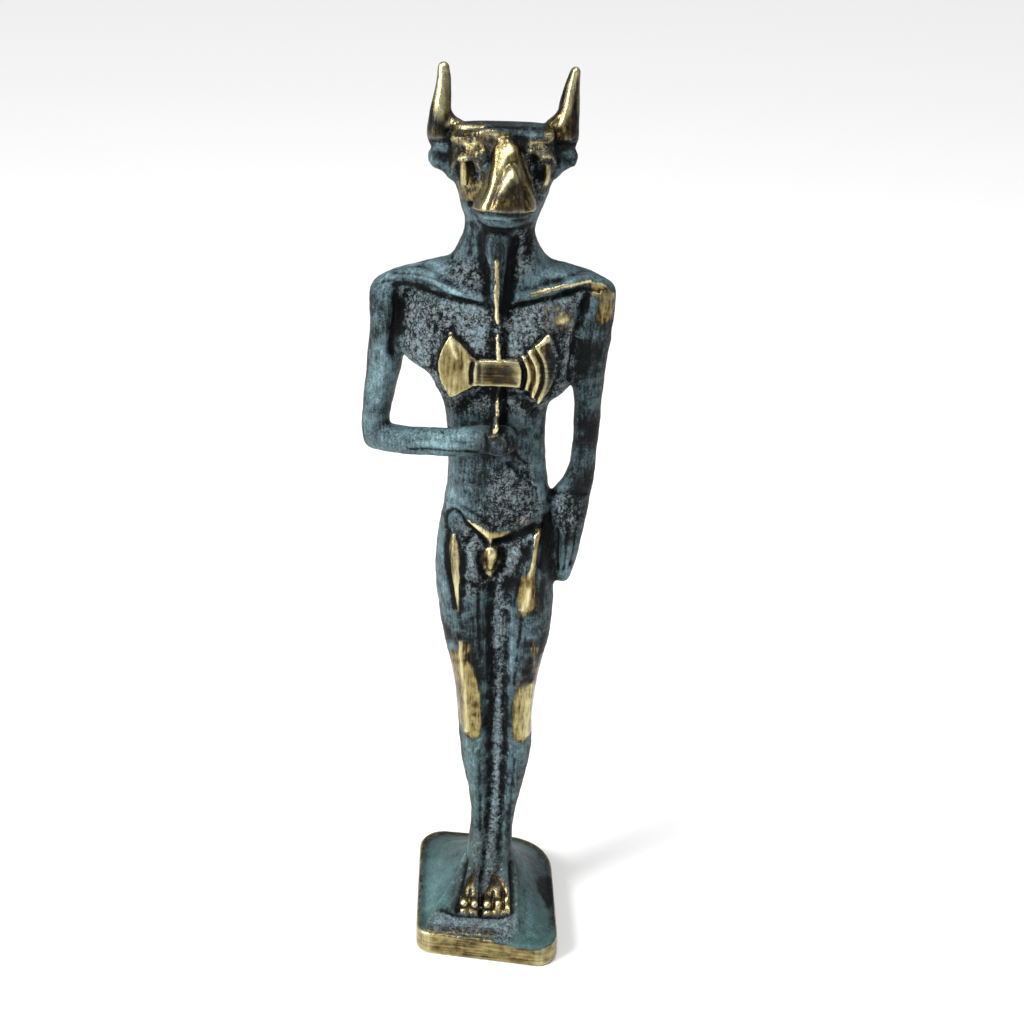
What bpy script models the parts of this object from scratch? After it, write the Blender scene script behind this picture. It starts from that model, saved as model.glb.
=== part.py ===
"""A small bronze statuette of a minotaur on a low plinth, cast in one.

The plinth stands with its underside on z = 0, centred on the origin, and the figure faces -Y.
The figure's stations are counted in 165ths of its own height, upwards from the plinth's top.
"""

import math

import bmesh
import bpy
import numpy as np
from mathutils import Vector
from mathutils.bvhtree import BVHTree

# Driving dimensions in metres
FIGURE_HEIGHT = 0.165
PLINTH_WIDTH = 0.0283
PLINTH_DEPTH = 0.0346
PLINTH_THICKNESS = 0.0052
FRONT_SKEW = 0.0030
REAR_SKEW = 0.0012
REAR_SHIFT = 0.0009
PLINTH_BEVEL = 0.0004
# Radii of the plinth's upright corners, from the rear right round to the front right, as the front shows them
PLINTH_CORNERS = (0.0105, 0.0052, 0.0034, 0.0042)
STAND_RIGHT = -0.0003
STAND_BACK = 0.0003

# How finely the casting is shaped and faceted
BODY_GRAIN = FIGURE_HEIGHT / 300
DETAIL_GRAIN = FIGURE_HEIGHT / 390
FACETS = 8400
CORNER_STEPS = 6
STATION = FIGURE_HEIGHT / 165

# Columns: height, left, right, front and back of level slices
TRUNK = [
    (78, -9.0, 9.2, -3.6, 6.0),
    (87, -9.4, 9.8, -5.2, 5.8),
    (91.5, -8.8, 9.7, -5.7, 5.2),
    (95, -8.7, 9.1, -5.7, 4.8),
    (100, -8.7, 8.8, -5.4, 4.6),
    (105, -9.1, 8.8, -5.4, 4.9),
    (108, -9.8, 9.6, -6.2, 5.2),
    (110.4, -10.9, 12.4, -6.9, 5.5),
    (113, -12.4, 14.0, -7.2, 5.8),
    (115.4, -15.8, 14.4, -7.3, 6.1),
    (118, -17.4, 14.8, -7.3, 6.4),
    (121, -17.6, 15.0, -7.1, 6.6),
    (125, -17.0, 15.2, -6.3, 6.6),
    (128, -15.4, 14.2, -5.4, 6.2),
    (130.5, -11.4, 11.2, -4.6, 5.4),
    (133, -8.4, 8.2, -4.0, 4.6),
]
NECK = [
    (127, -10.0, 9.8, -4.8, 6.0),
    (131.5, -9.4, 9.0, -4.7, 6.2),
    (134.5, -7.6, 7.2, -4.8, 5.9),
    (137.5, -6.3, 5.9, -5.0, 5.6),
    (140.5, -6.1, 6.2, -5.3, 5.6),
    (144, -6.6, 7.0, -5.8, 5.8),
]
HEAD = [
    (139, -5.6, 5.8, -5.2, 5.4),
    (142, -6.6, 7.0, -6.3, 6.0),
    (145, -7.4, 8.0, -7.0, 6.4),
    (148, -8.2, 8.7, -7.2, 6.7),
    (151, -8.7, 9.1, -7.1, 6.4),
    (153.4, -8.7, 9.0, -6.8, 5.0),
    (155.2, -8.2, 8.5, -6.3, 2.8),
    (156.1, -7.0, 7.4, -5.2, 0.2),
]
MUZZLE = [
    (142.4, -3.8, 4.8, -10.6, -2.0),
    (144.0, -4.5, 5.9, -13.5, -2.0),
    (146.4, -3.3, 5.2, -12.9, -2.0),
    (149.0, -2.4, 4.2, -11.4, -2.0),
    (151.4, -1.9, 3.5, -9.8, -2.0),
    (153.4, -1.4, 2.9, -8.4, -2.0),
    (154.8, -0.8, 2.2, -7.0, -2.0),
]
LEG_CORE = [
    (2, -5.0, 6.0, -4.6, 5.0),
    (12.5, -3.4, 4.4, -2.6, 3.4),
    (17.5, -3.0, 4.6, -2.4, 3.6),
    (26, -3.6, 6.0, -2.8, 4.2),
    (40, -5.0, 7.0, -3.6, 4.0),
    (50, -5.6, 7.4, -4.0, 3.4),
    (60, -7.6, 9.0, -4.0, 4.4),
    (72, -9.4, 9.8, -4.0, 6.0),
    (82, -9.4, 9.6, -4.2, 5.8),
]
RIGHT_LEG = [
    (4, -4.8, 0.5, -4.6, 4.2),
    (8, -4.3, 0.3, -4.1, 3.7),
    (12.6, -3.9, 0.2, -3.6, 3.6),
    (17.4, -3.5, 0.2, -3.5, 4.2),
    (22, -3.8, 0.2, -3.8, 4.8),
    (27, -4.6, 0.2, -4.2, 5.2),
    (34, -5.8, 0.2, -4.9, 5.3),
    (41, -6.3, 0.2, -5.8, 4.7),
    (48, -6.8, 0.2, -6.3, 4.2),
    (54, -7.7, 0.3, -6.4, 4.3),
    (59, -8.9, 0.4, -6.2, 4.8),
    (64.4, -9.9, 0.5, -6.2, 5.8),
    (69.3, -10.6, 0.6, -6.3, 6.6),
    (74.6, -10.9, 0.8, -6.3, 7.2),
    (79.4, -10.6, 1.0, -6.0, 7.2),
    (84.6, -9.9, 1.0, -5.3, 6.4),
    (89, -8.9, 1.0, -4.4, 5.4),
]
LEFT_LEG = [
    (4, 2.0, 5.9, -4.4, 4.2),
    (8, 2.2, 5.2, -4.0, 3.7),
    (12.6, 2.4, 4.9, -3.5, 3.6),
    (17.4, 2.4, 5.2, -3.5, 4.2),
    (22, 2.5, 5.9, -3.8, 4.8),
    (26, 2.6, 6.8, -4.1, 5.2),
    (32, 2.6, 7.9, -4.7, 5.3),
    (37, 2.6, 8.3, -5.2, 5.0),
    (43, 2.6, 8.1, -6.0, 4.5),
    (48, 2.5, 8.5, -6.3, 4.2),
    (53, 2.4, 9.2, -6.4, 4.3),
    (58, 2.3, 10.3, -6.2, 4.8),
    (63, 2.2, 11.2, -6.2, 5.8),
    (69, 2.0, 11.4, -6.3, 6.6),
    (75, 1.8, 11.2, -6.3, 7.2),
    (81, 1.5, 10.6, -5.9, 7.0),
    (85, 1.2, 9.9, -5.3, 6.4),
    (90, 1.0, 9.1, -4.4, 5.4),
]

# Limbs: x, y, height, half the width and half the depth along a path
RIGHT_SHOULDER = [
    (-5, 0.8, 131.0, 2.8, 4.6),
    (-11.6, 0.5, 129.5, 2.8, 4.0),
    (-16.6, 0.2, 128.1, 2.9, 3.6),
    (-19.3, 0.0, 126.9, 2.9, 3.3),
]
LEFT_SHOULDER = [
    (5, 0.8, 130.6, 2.8, 4.6),
    (9.8, 0.5, 129.7, 2.9, 4.0),
    (14, 0.2, 128.7, 2.9, 3.6),
    (17.3, 0.0, 127.3, 2.9, 3.3),
]
RIGHT_ARM = [
    (-19.2, 0.0, 126.6, 3.2, 3.5),
    (-19.2, 0.0, 120.5, 3.3, 3.5),
    (-20.0, 0.2, 113.5, 3.1, 3.3),
    (-21.2, 0.3, 107.0, 2.7, 2.9),
    (-21.8, 0.2, 102.0, 2.5, 2.7),
    (-21.5, 0.0, 99.6, 2.4, 2.6),
]
RIGHT_FOREARM = [
    (-21.7, 0.0, 99.8, 2.4, 2.5),
    (-17.0, -2.6, 100.2, 2.6, 2.5),
    (-11.5, -5.4, 101.1, 2.6, 2.4),
    (-6.0, -7.2, 102.0, 2.7, 2.2),
    (-1.5, -7.8, 102.8, 2.6, 2.0),
]
LEFT_ARM = [
    (17.1, 0.0, 126.6, 3.2, 3.5),
    (16.2, 0.0, 119.5, 3.5, 3.5),
    (15.9, 0.3, 113.5, 3.1, 3.3),
    (16.2, 0.6, 107.0, 2.5, 2.9),
    (16.1, 0.6, 102.0, 2.4, 2.7),
    (15.8, 0.2, 96.0, 2.4, 2.6),
    (15.0, -0.2, 92.0, 2.9, 2.9),
    (13.6, -0.4, 88.0, 3.7, 3.2),
    (13.3, -0.6, 83.0, 3.2, 3.1),
    (13.2, -0.8, 77.5, 2.4, 2.8),
    (12.8, -0.8, 73.5, 1.7, 2.2),
]
RIGHT_HORN = [
    (-8.0, 0.0, 151.6, 2.5, 2.4),
    (-10.0, -0.2, 153.4, 2.4, 2.3),
    (-10.3, -0.2, 156.2, 1.95, 1.9),
    (-9.95, 0.0, 159.5, 1.55, 1.5),
    (-9.7, 0.2, 162.5, 1.2, 1.15),
    (-9.75, 0.2, 164.3, 1.0, 0.9),
]
LEFT_HORN = [
    (8.0, 0.0, 151.8, 2.5, 2.4),
    (10.2, -0.2, 153.4, 2.3, 2.3),
    (10.6, -0.2, 156.2, 2.0, 1.9),
    (10.9, 0.0, 159.4, 1.65, 1.6),
    (11.3, 0.2, 162.4, 1.2, 1.2),
    (11.6, 0.2, 164.1, 0.92, 0.9),
]
HORN_ROOTS = [
    [(-9.0, 0.0, 157.6, 0.5, 0.9), (-8.2, -0.3, 156.3, 0.6, 1.4), (-7.0, -0.6, 155.6, 0.6, 1.6)],
    [(10.0, 0.0, 158.6, 0.6, 0.9), (9.2, -0.2, 157.0, 0.8, 1.4), (7.9, -0.6, 155.9, 0.8, 1.7)],
]
RIGHT_FOOT = [
    (-1.9, 3.0, 2.6, 2.4, 2.6),
    (-2.2, -2.0, 4.2, 2.4, 2.5),
    (-2.8, -6.0, 3.0, 2.3, 2.4),
    (-3.2, -8.6, 1.9, 2.2, 1.7),
]
LEFT_FOOT = [
    (3.0, 3.0, 2.6, 2.4, 2.6),
    (2.6, -2.0, 4.2, 2.5, 2.5),
    (2.1, -6.0, 3.0, 2.6, 2.4),
    (1.9, -8.6, 1.9, 2.6, 1.7),
]
TOES = [(-4.3, -9.4), (-2.1, -9.7), (0.3, -9.8), (2.5, -9.5), (4.0, -8.8)]

# Lumps: centre and half sizes
LUMPS = [
    (-5.2, 3.4, 77.5, 4.9, 4.6, 8.5),
    (5.6, 3.4, 77.5, 4.9, 4.6, 8.5),
    (0.5, -5.4, 141.5, 4.3, 4.4, 1.6),
    (-9.9, 0.0, 150.0, 2.6, 1.8, 2.3),
    (10.1, 0.0, 150.6, 2.6, 1.8, 2.4),
    (-7.9, 0.0, 148.4, 1.9, 1.8, 2.4),
    (8.4, 0.0, 148.9, 1.9, 1.8, 2.4),
    (0.8, -7.8, 102.6, 3.3, 2.3, 3.0),
]

# Raised bands that lie on the front: x, height, half width and rise along each
BANDS = [
    [(-2.6, 127.6, 0.9, 0.8), (-8, 128.7, 1.0, 1.0), (-13.4, 130.6, 1.0, 1.0), (-18.6, 129.6, 1.0, 0.7)],
    [(3.2, 127.7, 0.9, 0.8), (10, 129.2, 1.0, 1.0), (14.5, 130.4, 1.0, 1.1), (17.6, 129.6, 1.0, 0.8)],
    [(-0.5, 136.5, 2.6, 1.6), (-0.4, 131, 1.9, 1.6), (-0.4, 126.5, 1.2, 1.5), (0.4, 122.9, 0.5, 0.8)],
    [(-7.6, 87.8, 1.3, 0.4), (-5.2, 86.6, 1.4, 0.5), (-2.5, 84.3, 1.5, 0.6), (-0.4, 82.7, 1.4, 0.7)],
    [(9.0, 87.6, 1.3, 0.4), (4.7, 85.3, 1.4, 0.5), (2.0, 83.9, 1.5, 0.6), (-0.4, 82.7, 1.4, 0.7)],
    [(8.2, 85.6, 0.8, 0.7), (7.2, 79.6, 0.9, 0.8), (6.4, 75, 1.4, 0.6), (5.9, 69, 1.7, 0.4)],
    [(-7.2, 83, 0.5, 0.4), (-7.0, 77, 0.9, 0.7), (-6.6, 71, 0.7, 0.6), (-6.3, 66, 0.4, 0.4)],
    [(0.1, 121.6, 0.6, 0.8), (0.4, 118, 0.6, 0.8), (0.4, 111.8, 0.6, 0.9), (-0.2, 104, 0.6, 2.2)],
    [(-6.4, 150.9, 1.0, 0.6), (-4.6, 152.0, 1.3, 1.0), (-2.6, 151.9, 1.0, 0.8)],
    [(7.8, 151.1, 1.0, 0.6), (6.2, 152.2, 1.3, 1.0), (4.2, 152.0, 1.0, 0.8)],
    [(-6.0, 150.4, 0.6, 0.5), (-6.0, 148.9, 0.8, 0.7), (-5.8, 147.2, 0.6, 0.5)],
    [(7.3, 150.6, 0.6, 0.5), (7.3, 149.0, 0.8, 0.7), (7.1, 147.4, 0.6, 0.5)],
    [(-7.4, 154.3, 0.9, 0.8), (0.2, 155.0, 0.9, 0.7), (7.6, 154.5, 0.9, 0.8)],
    [(-0.4, 81.6, 0.7, 0.9), (-0.5, 79, 1.25, 1.7), (-0.6, 76.4, 0.8, 1.1)],
]

# Outlines of the double axe: x and height, with the rise above the chest
AXE_RIGHT_BLADE = [
    (-8.0, 121.8), (-9.5, 119.0), (-10.2, 116.5), (-9.6, 113.3), (-8.0, 110.3),
    (-5.8, 111.5), (-3.8, 112.7), (-2.6, 113.0), (-2.6, 117.0), (-4.3, 118.0), (-6.0, 119.9),
]
AXE_LEFT_BLADE = [
    (4.0, 117.4), (5.2, 118.4), (6.7, 120.2), (8.6, 122.3), (9.9, 120.2), (10.6, 117.6),
    (10.3, 115.0), (9.0, 111.9), (7.2, 109.3), (5.6, 111.0), (4.6, 112.5), (4.0, 112.9),
]
AXE_HUB = [(-2.8, 117.3), (4.2, 117.3), (4.2, 112.5), (-2.8, 112.7)]
AXE_RISE = 1.1

# The mound round the feet: how high it rises, where it is steep, and the low sector in front
MOUND_RISE = 8.6
MOUND_STEEPNESS = 1.7
MOUND_FOOT = (4.6, 4.4)
MOUND_CENTRE = (0.7, 0.4)
FRONT_SECTOR = (-129, -72)
FRONT_RISE = 1.5


def placed(points):
    """Stations of the figure as metres above the plinth."""
    return np.asarray(points, float) * STATION + (STAND_RIGHT, STAND_BACK, PLINTH_THICKNESS)


def flowing(stations, steps=4):
    """The stations with more of them between, on a smooth curve through all."""
    rows = np.array(stations, float)
    padded = np.vstack([2 * rows[0] - rows[1], rows, 2 * rows[-1] - rows[-2]])
    between = []
    for a, b, c, d in zip(padded, padded[1:], padded[2:], padded[3:]):
        for t in np.arange(steps) / steps:
            bend = (2 * a - 5 * b + 4 * c - d) * t**2 + (3 * b - a - 3 * c + d) * t**3
            between.append(b + ((c - a) * t + bend) / 2)
    return np.array(between + [rows[-1]])


def skinned(rings):
    """A closed surface over rings of points, with a flat cap at each end."""
    count, around = rings.shape[:2]
    faces = [tuple(range(around)), tuple(range((count - 1) * around, count * around))]
    for i in range(count - 1):
        for j in range(around):
            k = (j + 1) % around
            faces.append((i * around + j, i * around + k, (i + 1) * around + k, (i + 1) * around + j))
    return rings.reshape(-1, 3), faces


def column(stations, squareness=2.5, around=32):
    """A body of level slices, each between its left, right, front and back."""
    angles = np.arange(around) * 2 * math.pi / around
    cos, sin = np.cos(angles), np.sin(angles)
    wide = np.sign(cos) * np.abs(cos) ** (2 / squareness)
    deep = np.sign(sin) * np.abs(sin) ** (2 / squareness)
    rings = []
    for z, left, right, front, back in flowing(stations):
        x = (left + right + (right - left) * wide) / 2
        y = (front + back + (back - front) * deep) / 2
        rings.append(np.column_stack([x, y, np.full(around, z)]))
    return skinned(np.array(rings))


def limb(stations, face=(0, -1, 0), around=18):
    """A limb with round ends, whose width lies square to the way that it faces."""
    rows = flowing(stations)
    ahead = np.gradient(rows[:, :3], axis=0)
    ahead /= np.linalg.norm(ahead, axis=1)[:, None]
    side = np.cross(ahead, face)
    side /= np.linalg.norm(side, axis=1)[:, None]
    depth = np.cross(side, ahead)
    angles = np.arange(around)[:, None] * 2 * math.pi / around
    rings = []

    def ring(i, lean):
        middle = rows[i, :3] + ahead[i] * rows[i, 3] * math.sin(lean)
        spread = side[i] * rows[i, 3] * np.cos(angles) + depth[i] * rows[i, 4] * np.sin(angles)
        rings.append(middle + spread * math.cos(lean))

    for lean in (-1.4, -1.0, -0.5):
        ring(0, lean)
    for i in range(len(rows)):
        ring(i, 0)
    for lean in (0.5, 1.0, 1.4):
        ring(-1, lean)
    return skinned(np.array(rings))


def lump(x, y, z, half_width, half_depth, half_height):
    """A rounded lump."""
    rings = []
    for lean in np.linspace(-1.45, 1.45, 11):
        angles = np.arange(16) * 2 * math.pi / 16
        ring_x = x + half_width * math.cos(lean) * np.cos(angles)
        ring_y = y + half_depth * math.cos(lean) * np.sin(angles)
        rings.append(np.column_stack([ring_x, ring_y, np.full(16, z + half_height * math.sin(lean))]))
    return skinned(np.array(rings))


def mound():
    """Cast slopes from the plinth's edge up to the ankles, low in front of the toes."""
    edge = (plinth_outline(PLINTH_BEVEL) - (STAND_RIGHT, STAND_BACK)) / STATION - MOUND_CENTRE
    around = 72
    angles = np.arange(around) * 2 * math.pi / around - math.pi
    far = np.array([reach_of(edge, angle) for angle in angles])
    near = np.hypot(MOUND_FOOT[0] * np.cos(angles), MOUND_FOOT[1] * np.sin(angles))
    start, end = np.radians(FRONT_SECTOR)
    inside = np.clip(np.minimum(angles - start, end - angles) / 0.16 + 0.5, 0, 1)
    rise = MOUND_RISE + (FRONT_RISE - MOUND_RISE) * inside
    steep = MOUND_STEEPNESS + (0.6 - MOUND_STEEPNESS) * inside
    rings = []
    for share in (1, 1, 0.97, 0.9, 0.8, 0.7, 0.6, 0.5, 0.4, 0.3, 0.2, 0.1, 0):
        radius = near + (far - near) * share
        height = rise * (1 - share) ** steep - 0.3 * share**6
        if not rings:
            height = np.full(around, -2.4)
        x = MOUND_CENTRE[0] + radius * np.cos(angles)
        y = MOUND_CENTRE[1] + radius * np.sin(angles)
        rings.append(np.column_stack([x, y, height]))
    return skinned(np.array(rings))


def plinth_outline(inset=0.0):
    """The plinth's rounded outline, seen from above."""
    half_width = PLINTH_WIDTH / 2
    half_depth = PLINTH_DEPTH / 2
    corners = [
        (half_width - REAR_SHIFT, half_depth - REAR_SKEW / 2),
        (-half_width - REAR_SHIFT, half_depth + REAR_SKEW / 2),
        (-half_width, -half_depth + FRONT_SKEW / 2),
        (half_width, -half_depth - FRONT_SKEW / 2),
    ]
    outline = []
    for i, (corner, radius) in enumerate(zip(corners, PLINTH_CORNERS)):
        centre = np.array(corner) - np.sign(corner) * radius
        for step in range(CORNER_STEPS + 1):
            angle = math.radians(90 * i + 90 * step / CORNER_STEPS)
            outline.append(centre + (radius - inset) * np.array([math.cos(angle), math.sin(angle)]))
    return np.array(outline)


def reach_of(outline, angle):
    """How far an outline round the origin lies in one direction."""
    way = np.array([math.cos(angle), math.sin(angle)])
    best = 0.0
    for start, end in zip(outline, np.roll(outline, -1, axis=0)):
        along = end - start
        cross = way[0] * along[1] - way[1] * along[0]
        if abs(cross) < 1e-12:
            continue
        reach = (start[0] * along[1] - start[1] * along[0]) / cross
        share = (start[0] * way[1] - start[1] * way[0]) / cross
        if reach > 0 and -1e-9 <= share <= 1 + 1e-9:
            best = max(best, reach)
    return best


def slab(outline, front, back):
    """A flat piece with a given outline in x and height."""
    rings = [[(x, y, z) for x, z in outline] for y in (front, back)]
    return skinned(np.array(rings, float))


def mesh_of(name, pieces):
    """One mesh of several closed surfaces, each facing out."""
    points, faces, start = [], [], 0
    for piece_points, piece_faces in pieces:
        points.extend(map(tuple, piece_points))
        faces.extend(tuple(start + i for i in face) for face in piece_faces)
        start += len(piece_points)
    mesh = bpy.data.meshes.new(name)
    mesh.from_pydata(points, [], faces)
    shape = bmesh.new()
    shape.from_mesh(mesh)
    bmesh.ops.recalc_face_normals(shape, faces=shape.faces)
    shape.to_mesh(mesh)
    shape.free()
    return mesh


def helper(name, mesh):
    """An object that only helps to make the solid."""
    obj = bpy.data.objects.new(name, mesh)
    bpy.context.collection.objects.link(obj)
    obj.hide_render = True
    obj.display_type = "WIRE"
    return obj


def melted(name, mesh, grain, smoothing):
    """The mesh's pieces run together into one skin, smoothed a little."""
    obj = helper(name, mesh)
    remesh = obj.modifiers.new("Run together", "REMESH")
    remesh.mode = "VOXEL"
    remesh.voxel_size = grain
    smooth = obj.modifiers.new("Soften", "SMOOTH")
    smooth.factor = 0.5
    smooth.iterations = smoothing
    graph = bpy.context.evaluated_depsgraph_get()
    skin = bpy.data.meshes.new_from_object(obj.evaluated_get(graph))
    bpy.data.objects.remove(obj)
    return skin


def front_of(tree, x, z):
    """How far back the body's front lies at x and height z, in stations."""
    start = Vector(placed((x, -60, z)))
    hit = tree.ray_cast(start, Vector((0, 1, 0)))[0]
    return (hit.y - STAND_BACK) / STATION


def build_body():
    """The figure's masses, run together."""
    pieces = [column(TRUNK), column(NECK), column(HEAD), column(LEG_CORE)]
    pieces += [column(RIGHT_LEG, 2.3), column(LEFT_LEG, 2.3)]
    pieces += [limb(path) for path in (RIGHT_SHOULDER, LEFT_SHOULDER, RIGHT_ARM, LEFT_ARM)]
    pieces += [limb(RIGHT_FOREARM), mound()]
    pieces += [limb(path, (0, 0, 1)) for path in (RIGHT_FOOT, LEFT_FOOT)]
    pieces += [lump(*sizes) for sizes in LUMPS]
    pieces = [(placed(points), faces) for points, faces in pieces]
    return melted("body_masses", mesh_of("body_masses", pieces), BODY_GRAIN, 7)


def build_details(body):
    """The carving that stands on the body."""
    tree = BVHTree.FromPolygons(
        [v.co[:] for v in body.vertices], [p.vertices[:] for p in body.polygons]
    )
    pieces = [column(MUZZLE, 3.0), limb(RIGHT_HORN), limb(LEFT_HORN)]
    pieces += [limb(root) for root in HORN_ROOTS]
    for x, y in TOES:
        knuckle, tip = (x * 0.9, y + 2.8, 3.3, 1.0, 1.1), (x, y, 2.0, 1.15, 1.3)
        pieces.append(limb([knuckle, tip], (0, 0, 1)))
    for band in BANDS:
        rows = []
        for x, z, half_width, rise in flowing(band, 3):
            rows.append((x, front_of(tree, x, z) + 0.5, z, half_width, rise + 0.5))
        pieces.append(limb(rows))
    for outline in (AXE_RIGHT_BLADE, AXE_LEFT_BLADE, AXE_HUB):
        middle = np.mean(outline, axis=0)
        front = front_of(tree, *middle) - AXE_RISE
        pieces.append(slab(outline, front, front + 4))
    pieces = [(placed(points), faces) for points, faces in pieces]
    skin = [v.co[:] for v in body.vertices], [p.vertices[:] for p in body.polygons]
    return melted("figure", mesh_of("figure", pieces + [skin]), DETAIL_GRAIN, 2)


def build_plinth():
    """The plinth's slab, with its edges slightly rounded."""
    levels = [
        (PLINTH_BEVEL, 0),
        (0, PLINTH_BEVEL),
        (0, PLINTH_THICKNESS - PLINTH_BEVEL),
        (PLINTH_BEVEL, PLINTH_THICKNESS),
    ]
    rings = []
    for inset, z in levels:
        outline = plinth_outline(inset)
        rings.append(np.column_stack([outline, np.full(len(outline), z)]))
    return mesh_of("minotaur_statuette", [skinned(np.array(rings))])


def bronze():
    """Patinated bronze."""
    material = bpy.data.materials.new("patinated_bronze")
    material.use_nodes = True
    shader = material.node_tree.nodes["Principled BSDF"]
    shader.inputs["Base Color"].default_value = (0.08, 0.15, 0.16, 1)
    shader.inputs["Metallic"].default_value = 0.8
    shader.inputs["Roughness"].default_value = 0.45
    return material


def main():
    for obj in list(bpy.data.objects):
        bpy.data.objects.remove(obj)
    figure = helper("figure", build_details(build_body()))
    facets = figure.modifiers.new("Facets", "DECIMATE")
    facets.ratio = FACETS / (2 * len(figure.data.polygons))
    statuette = bpy.data.objects.new("minotaur_statuette", build_plinth())
    bpy.context.collection.objects.link(statuette)
    statuette.data.materials.append(bronze())
    union = statuette.modifiers.new("Cast in one", "BOOLEAN")
    union.operation = "UNION"
    union.solver = "EXACT"
    union.object = figure


main()
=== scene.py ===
"""The looks of a small bronze statuette of a minotaur: its finely carved skin, its patina and a plain stage.

The figure's stations are 165ths of its own height, about 1 mm each, counted from the plinth's top.
"""

import math

import bmesh
import bpy
import numpy as np
from mathutils import Matrix, Vector
from mathutils.bvhtree import BVHTree


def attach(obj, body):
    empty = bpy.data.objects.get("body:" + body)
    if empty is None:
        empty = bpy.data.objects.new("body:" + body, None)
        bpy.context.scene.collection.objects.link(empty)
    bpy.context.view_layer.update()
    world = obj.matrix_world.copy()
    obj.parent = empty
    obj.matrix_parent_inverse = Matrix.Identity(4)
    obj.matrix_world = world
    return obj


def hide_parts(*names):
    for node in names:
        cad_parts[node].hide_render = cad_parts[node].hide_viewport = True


bl_info = {
    "name": "Minotaur Statuette",
    "version": (1, 0, 0),
    "blender": (4, 5, 0),
    "location": "View3D > Sidebar > Statuette",
    "description": "Carves and patinates a small cast bronze minotaur on a low plinth",
    "category": "Add Mesh",
}

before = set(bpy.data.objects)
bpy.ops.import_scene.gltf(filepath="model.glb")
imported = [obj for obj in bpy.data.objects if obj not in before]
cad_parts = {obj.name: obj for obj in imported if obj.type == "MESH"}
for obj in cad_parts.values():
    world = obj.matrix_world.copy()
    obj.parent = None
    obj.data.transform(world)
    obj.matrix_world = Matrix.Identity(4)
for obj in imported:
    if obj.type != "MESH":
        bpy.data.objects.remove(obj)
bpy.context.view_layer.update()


def linear(colour):
    """A hex sRGB colour as linear red, green and blue."""
    parts = [int(colour[i : i + 2], 16) / 255 for i in (1, 3, 5)]
    return [c / 12.92 if c <= 0.04045 else ((c + 0.055) / 1.055) ** 2.4 for c in parts]


# How many stations the figure's height is counted in
STATIONS = 165

# Columns: height, left, right, front and back of level slices
TRUNK = [
    (78, -9, 9.2, -3.6, 6),
    (87, -9.4, 9.8, -5.2, 5.8),
    (91.5, -8.8, 9.7, -5.7, 5.2),
    (95, -8.7, 9.1, -5.7, 4.8),
    (100, -8.7, 8.8, -5.4, 4.6),
    (105, -9.1, 8.8, -5.4, 4.9),
    (108, -9.8, 9.6, -6.2, 5.2),
    (110.4, -10.9, 12.4, -6.9, 5.5),
    (113, -12.4, 14, -7.2, 5.8),
    (115.4, -15.8, 14.4, -7.3, 6.1),
    (118, -17.4, 14.8, -7.3, 6.4),
    (121, -17.6, 15, -7.1, 6.6),
    (125, -17, 15.2, -6.3, 6.6),
    (128, -15.4, 14.2, -5.4, 6.2),
    (130.5, -11.4, 11.2, -4.6, 5.4),
    (133, -8.4, 8.2, -4, 4.6),
]
NECK = [
    (127, -10, 9.8, -4.8, 6),
    (131.5, -9.4, 9, -4.7, 6.2),
    (134.5, -7.6, 7.2, -4.8, 5.9),
    (137.5, -6.3, 5.9, -5, 5.6),
    (140.5, -6.1, 6.2, -5.3, 5.6),
    (144, -6.6, 7, -5.8, 5.8),
]
HEAD = [
    (139, -5.6, 5.8, -5.2, 5.4),
    (142, -6.6, 7, -6.3, 6),
    (145, -7.4, 8, -7, 6.4),
    (148, -8.2, 8.7, -7.2, 6.7),
    (151, -8.7, 9.1, -7.1, 6.4),
    (153.4, -8.7, 9, -6.8, 5),
    (155.2, -8.2, 8.5, -6.3, 2.8),
    (156.1, -7, 7.4, -5.2, 0.2),
]
MUZZLE = [
    (142.4, -3.8, 4.8, -10.6, -2),
    (144, -4.5, 5.9, -13.5, -2),
    (146.4, -3.3, 5.2, -12.9, -2),
    (149, -2.4, 4.2, -11.4, -2),
    (151.4, -1.9, 3.5, -9.8, -2),
    (153.4, -1.4, 2.9, -8.4, -2),
    (154.8, -0.8, 2.2, -7, -2),
]
LEG_CORE = [
    (2, -5, 6, -4.6, 5),
    (12.5, -3.4, 4.4, -2.6, 3.4),
    (17.5, -3, 4.6, -2.4, 3.6),
    (26, -3.6, 6, -2.8, 4.2),
    (40, -5, 7, -3.6, 4),
    (50, -5.6, 7.4, -4, 3.4),
    (60, -7.6, 9, -4, 4.4),
    (72, -9.4, 9.8, -4, 6),
    (82, -9.4, 9.6, -4.2, 5.8),
]
RIGHT_LEG = [
    (4, -4.8, 0.5, -4.6, 4.2),
    (8, -4.3, 0.3, -4.1, 3.7),
    (12.6, -3.9, 0.2, -3.6, 3.6),
    (17.4, -3.5, 0.2, -3.5, 4.2),
    (22, -3.8, 0.2, -3.8, 4.8),
    (27, -4.6, 0.2, -4.2, 5.2),
    (34, -5.8, 0.2, -4.9, 5.3),
    (41, -6.3, 0.2, -5.8, 4.7),
    (48, -6.8, 0.2, -6.3, 4.2),
    (54, -7.7, 0.3, -6.4, 4.3),
    (59, -8.9, 0.4, -6.2, 4.8),
    (64.4, -9.9, 0.5, -6.2, 5.8),
    (69.3, -10.6, 0.6, -6.3, 6.6),
    (74.6, -10.9, 0.8, -6.3, 7.2),
    (79.4, -10.6, 1, -6, 7.2),
    (84.6, -9.9, 1, -5.3, 6.4),
    (89, -8.9, 1, -4.4, 5.4),
]
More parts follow.
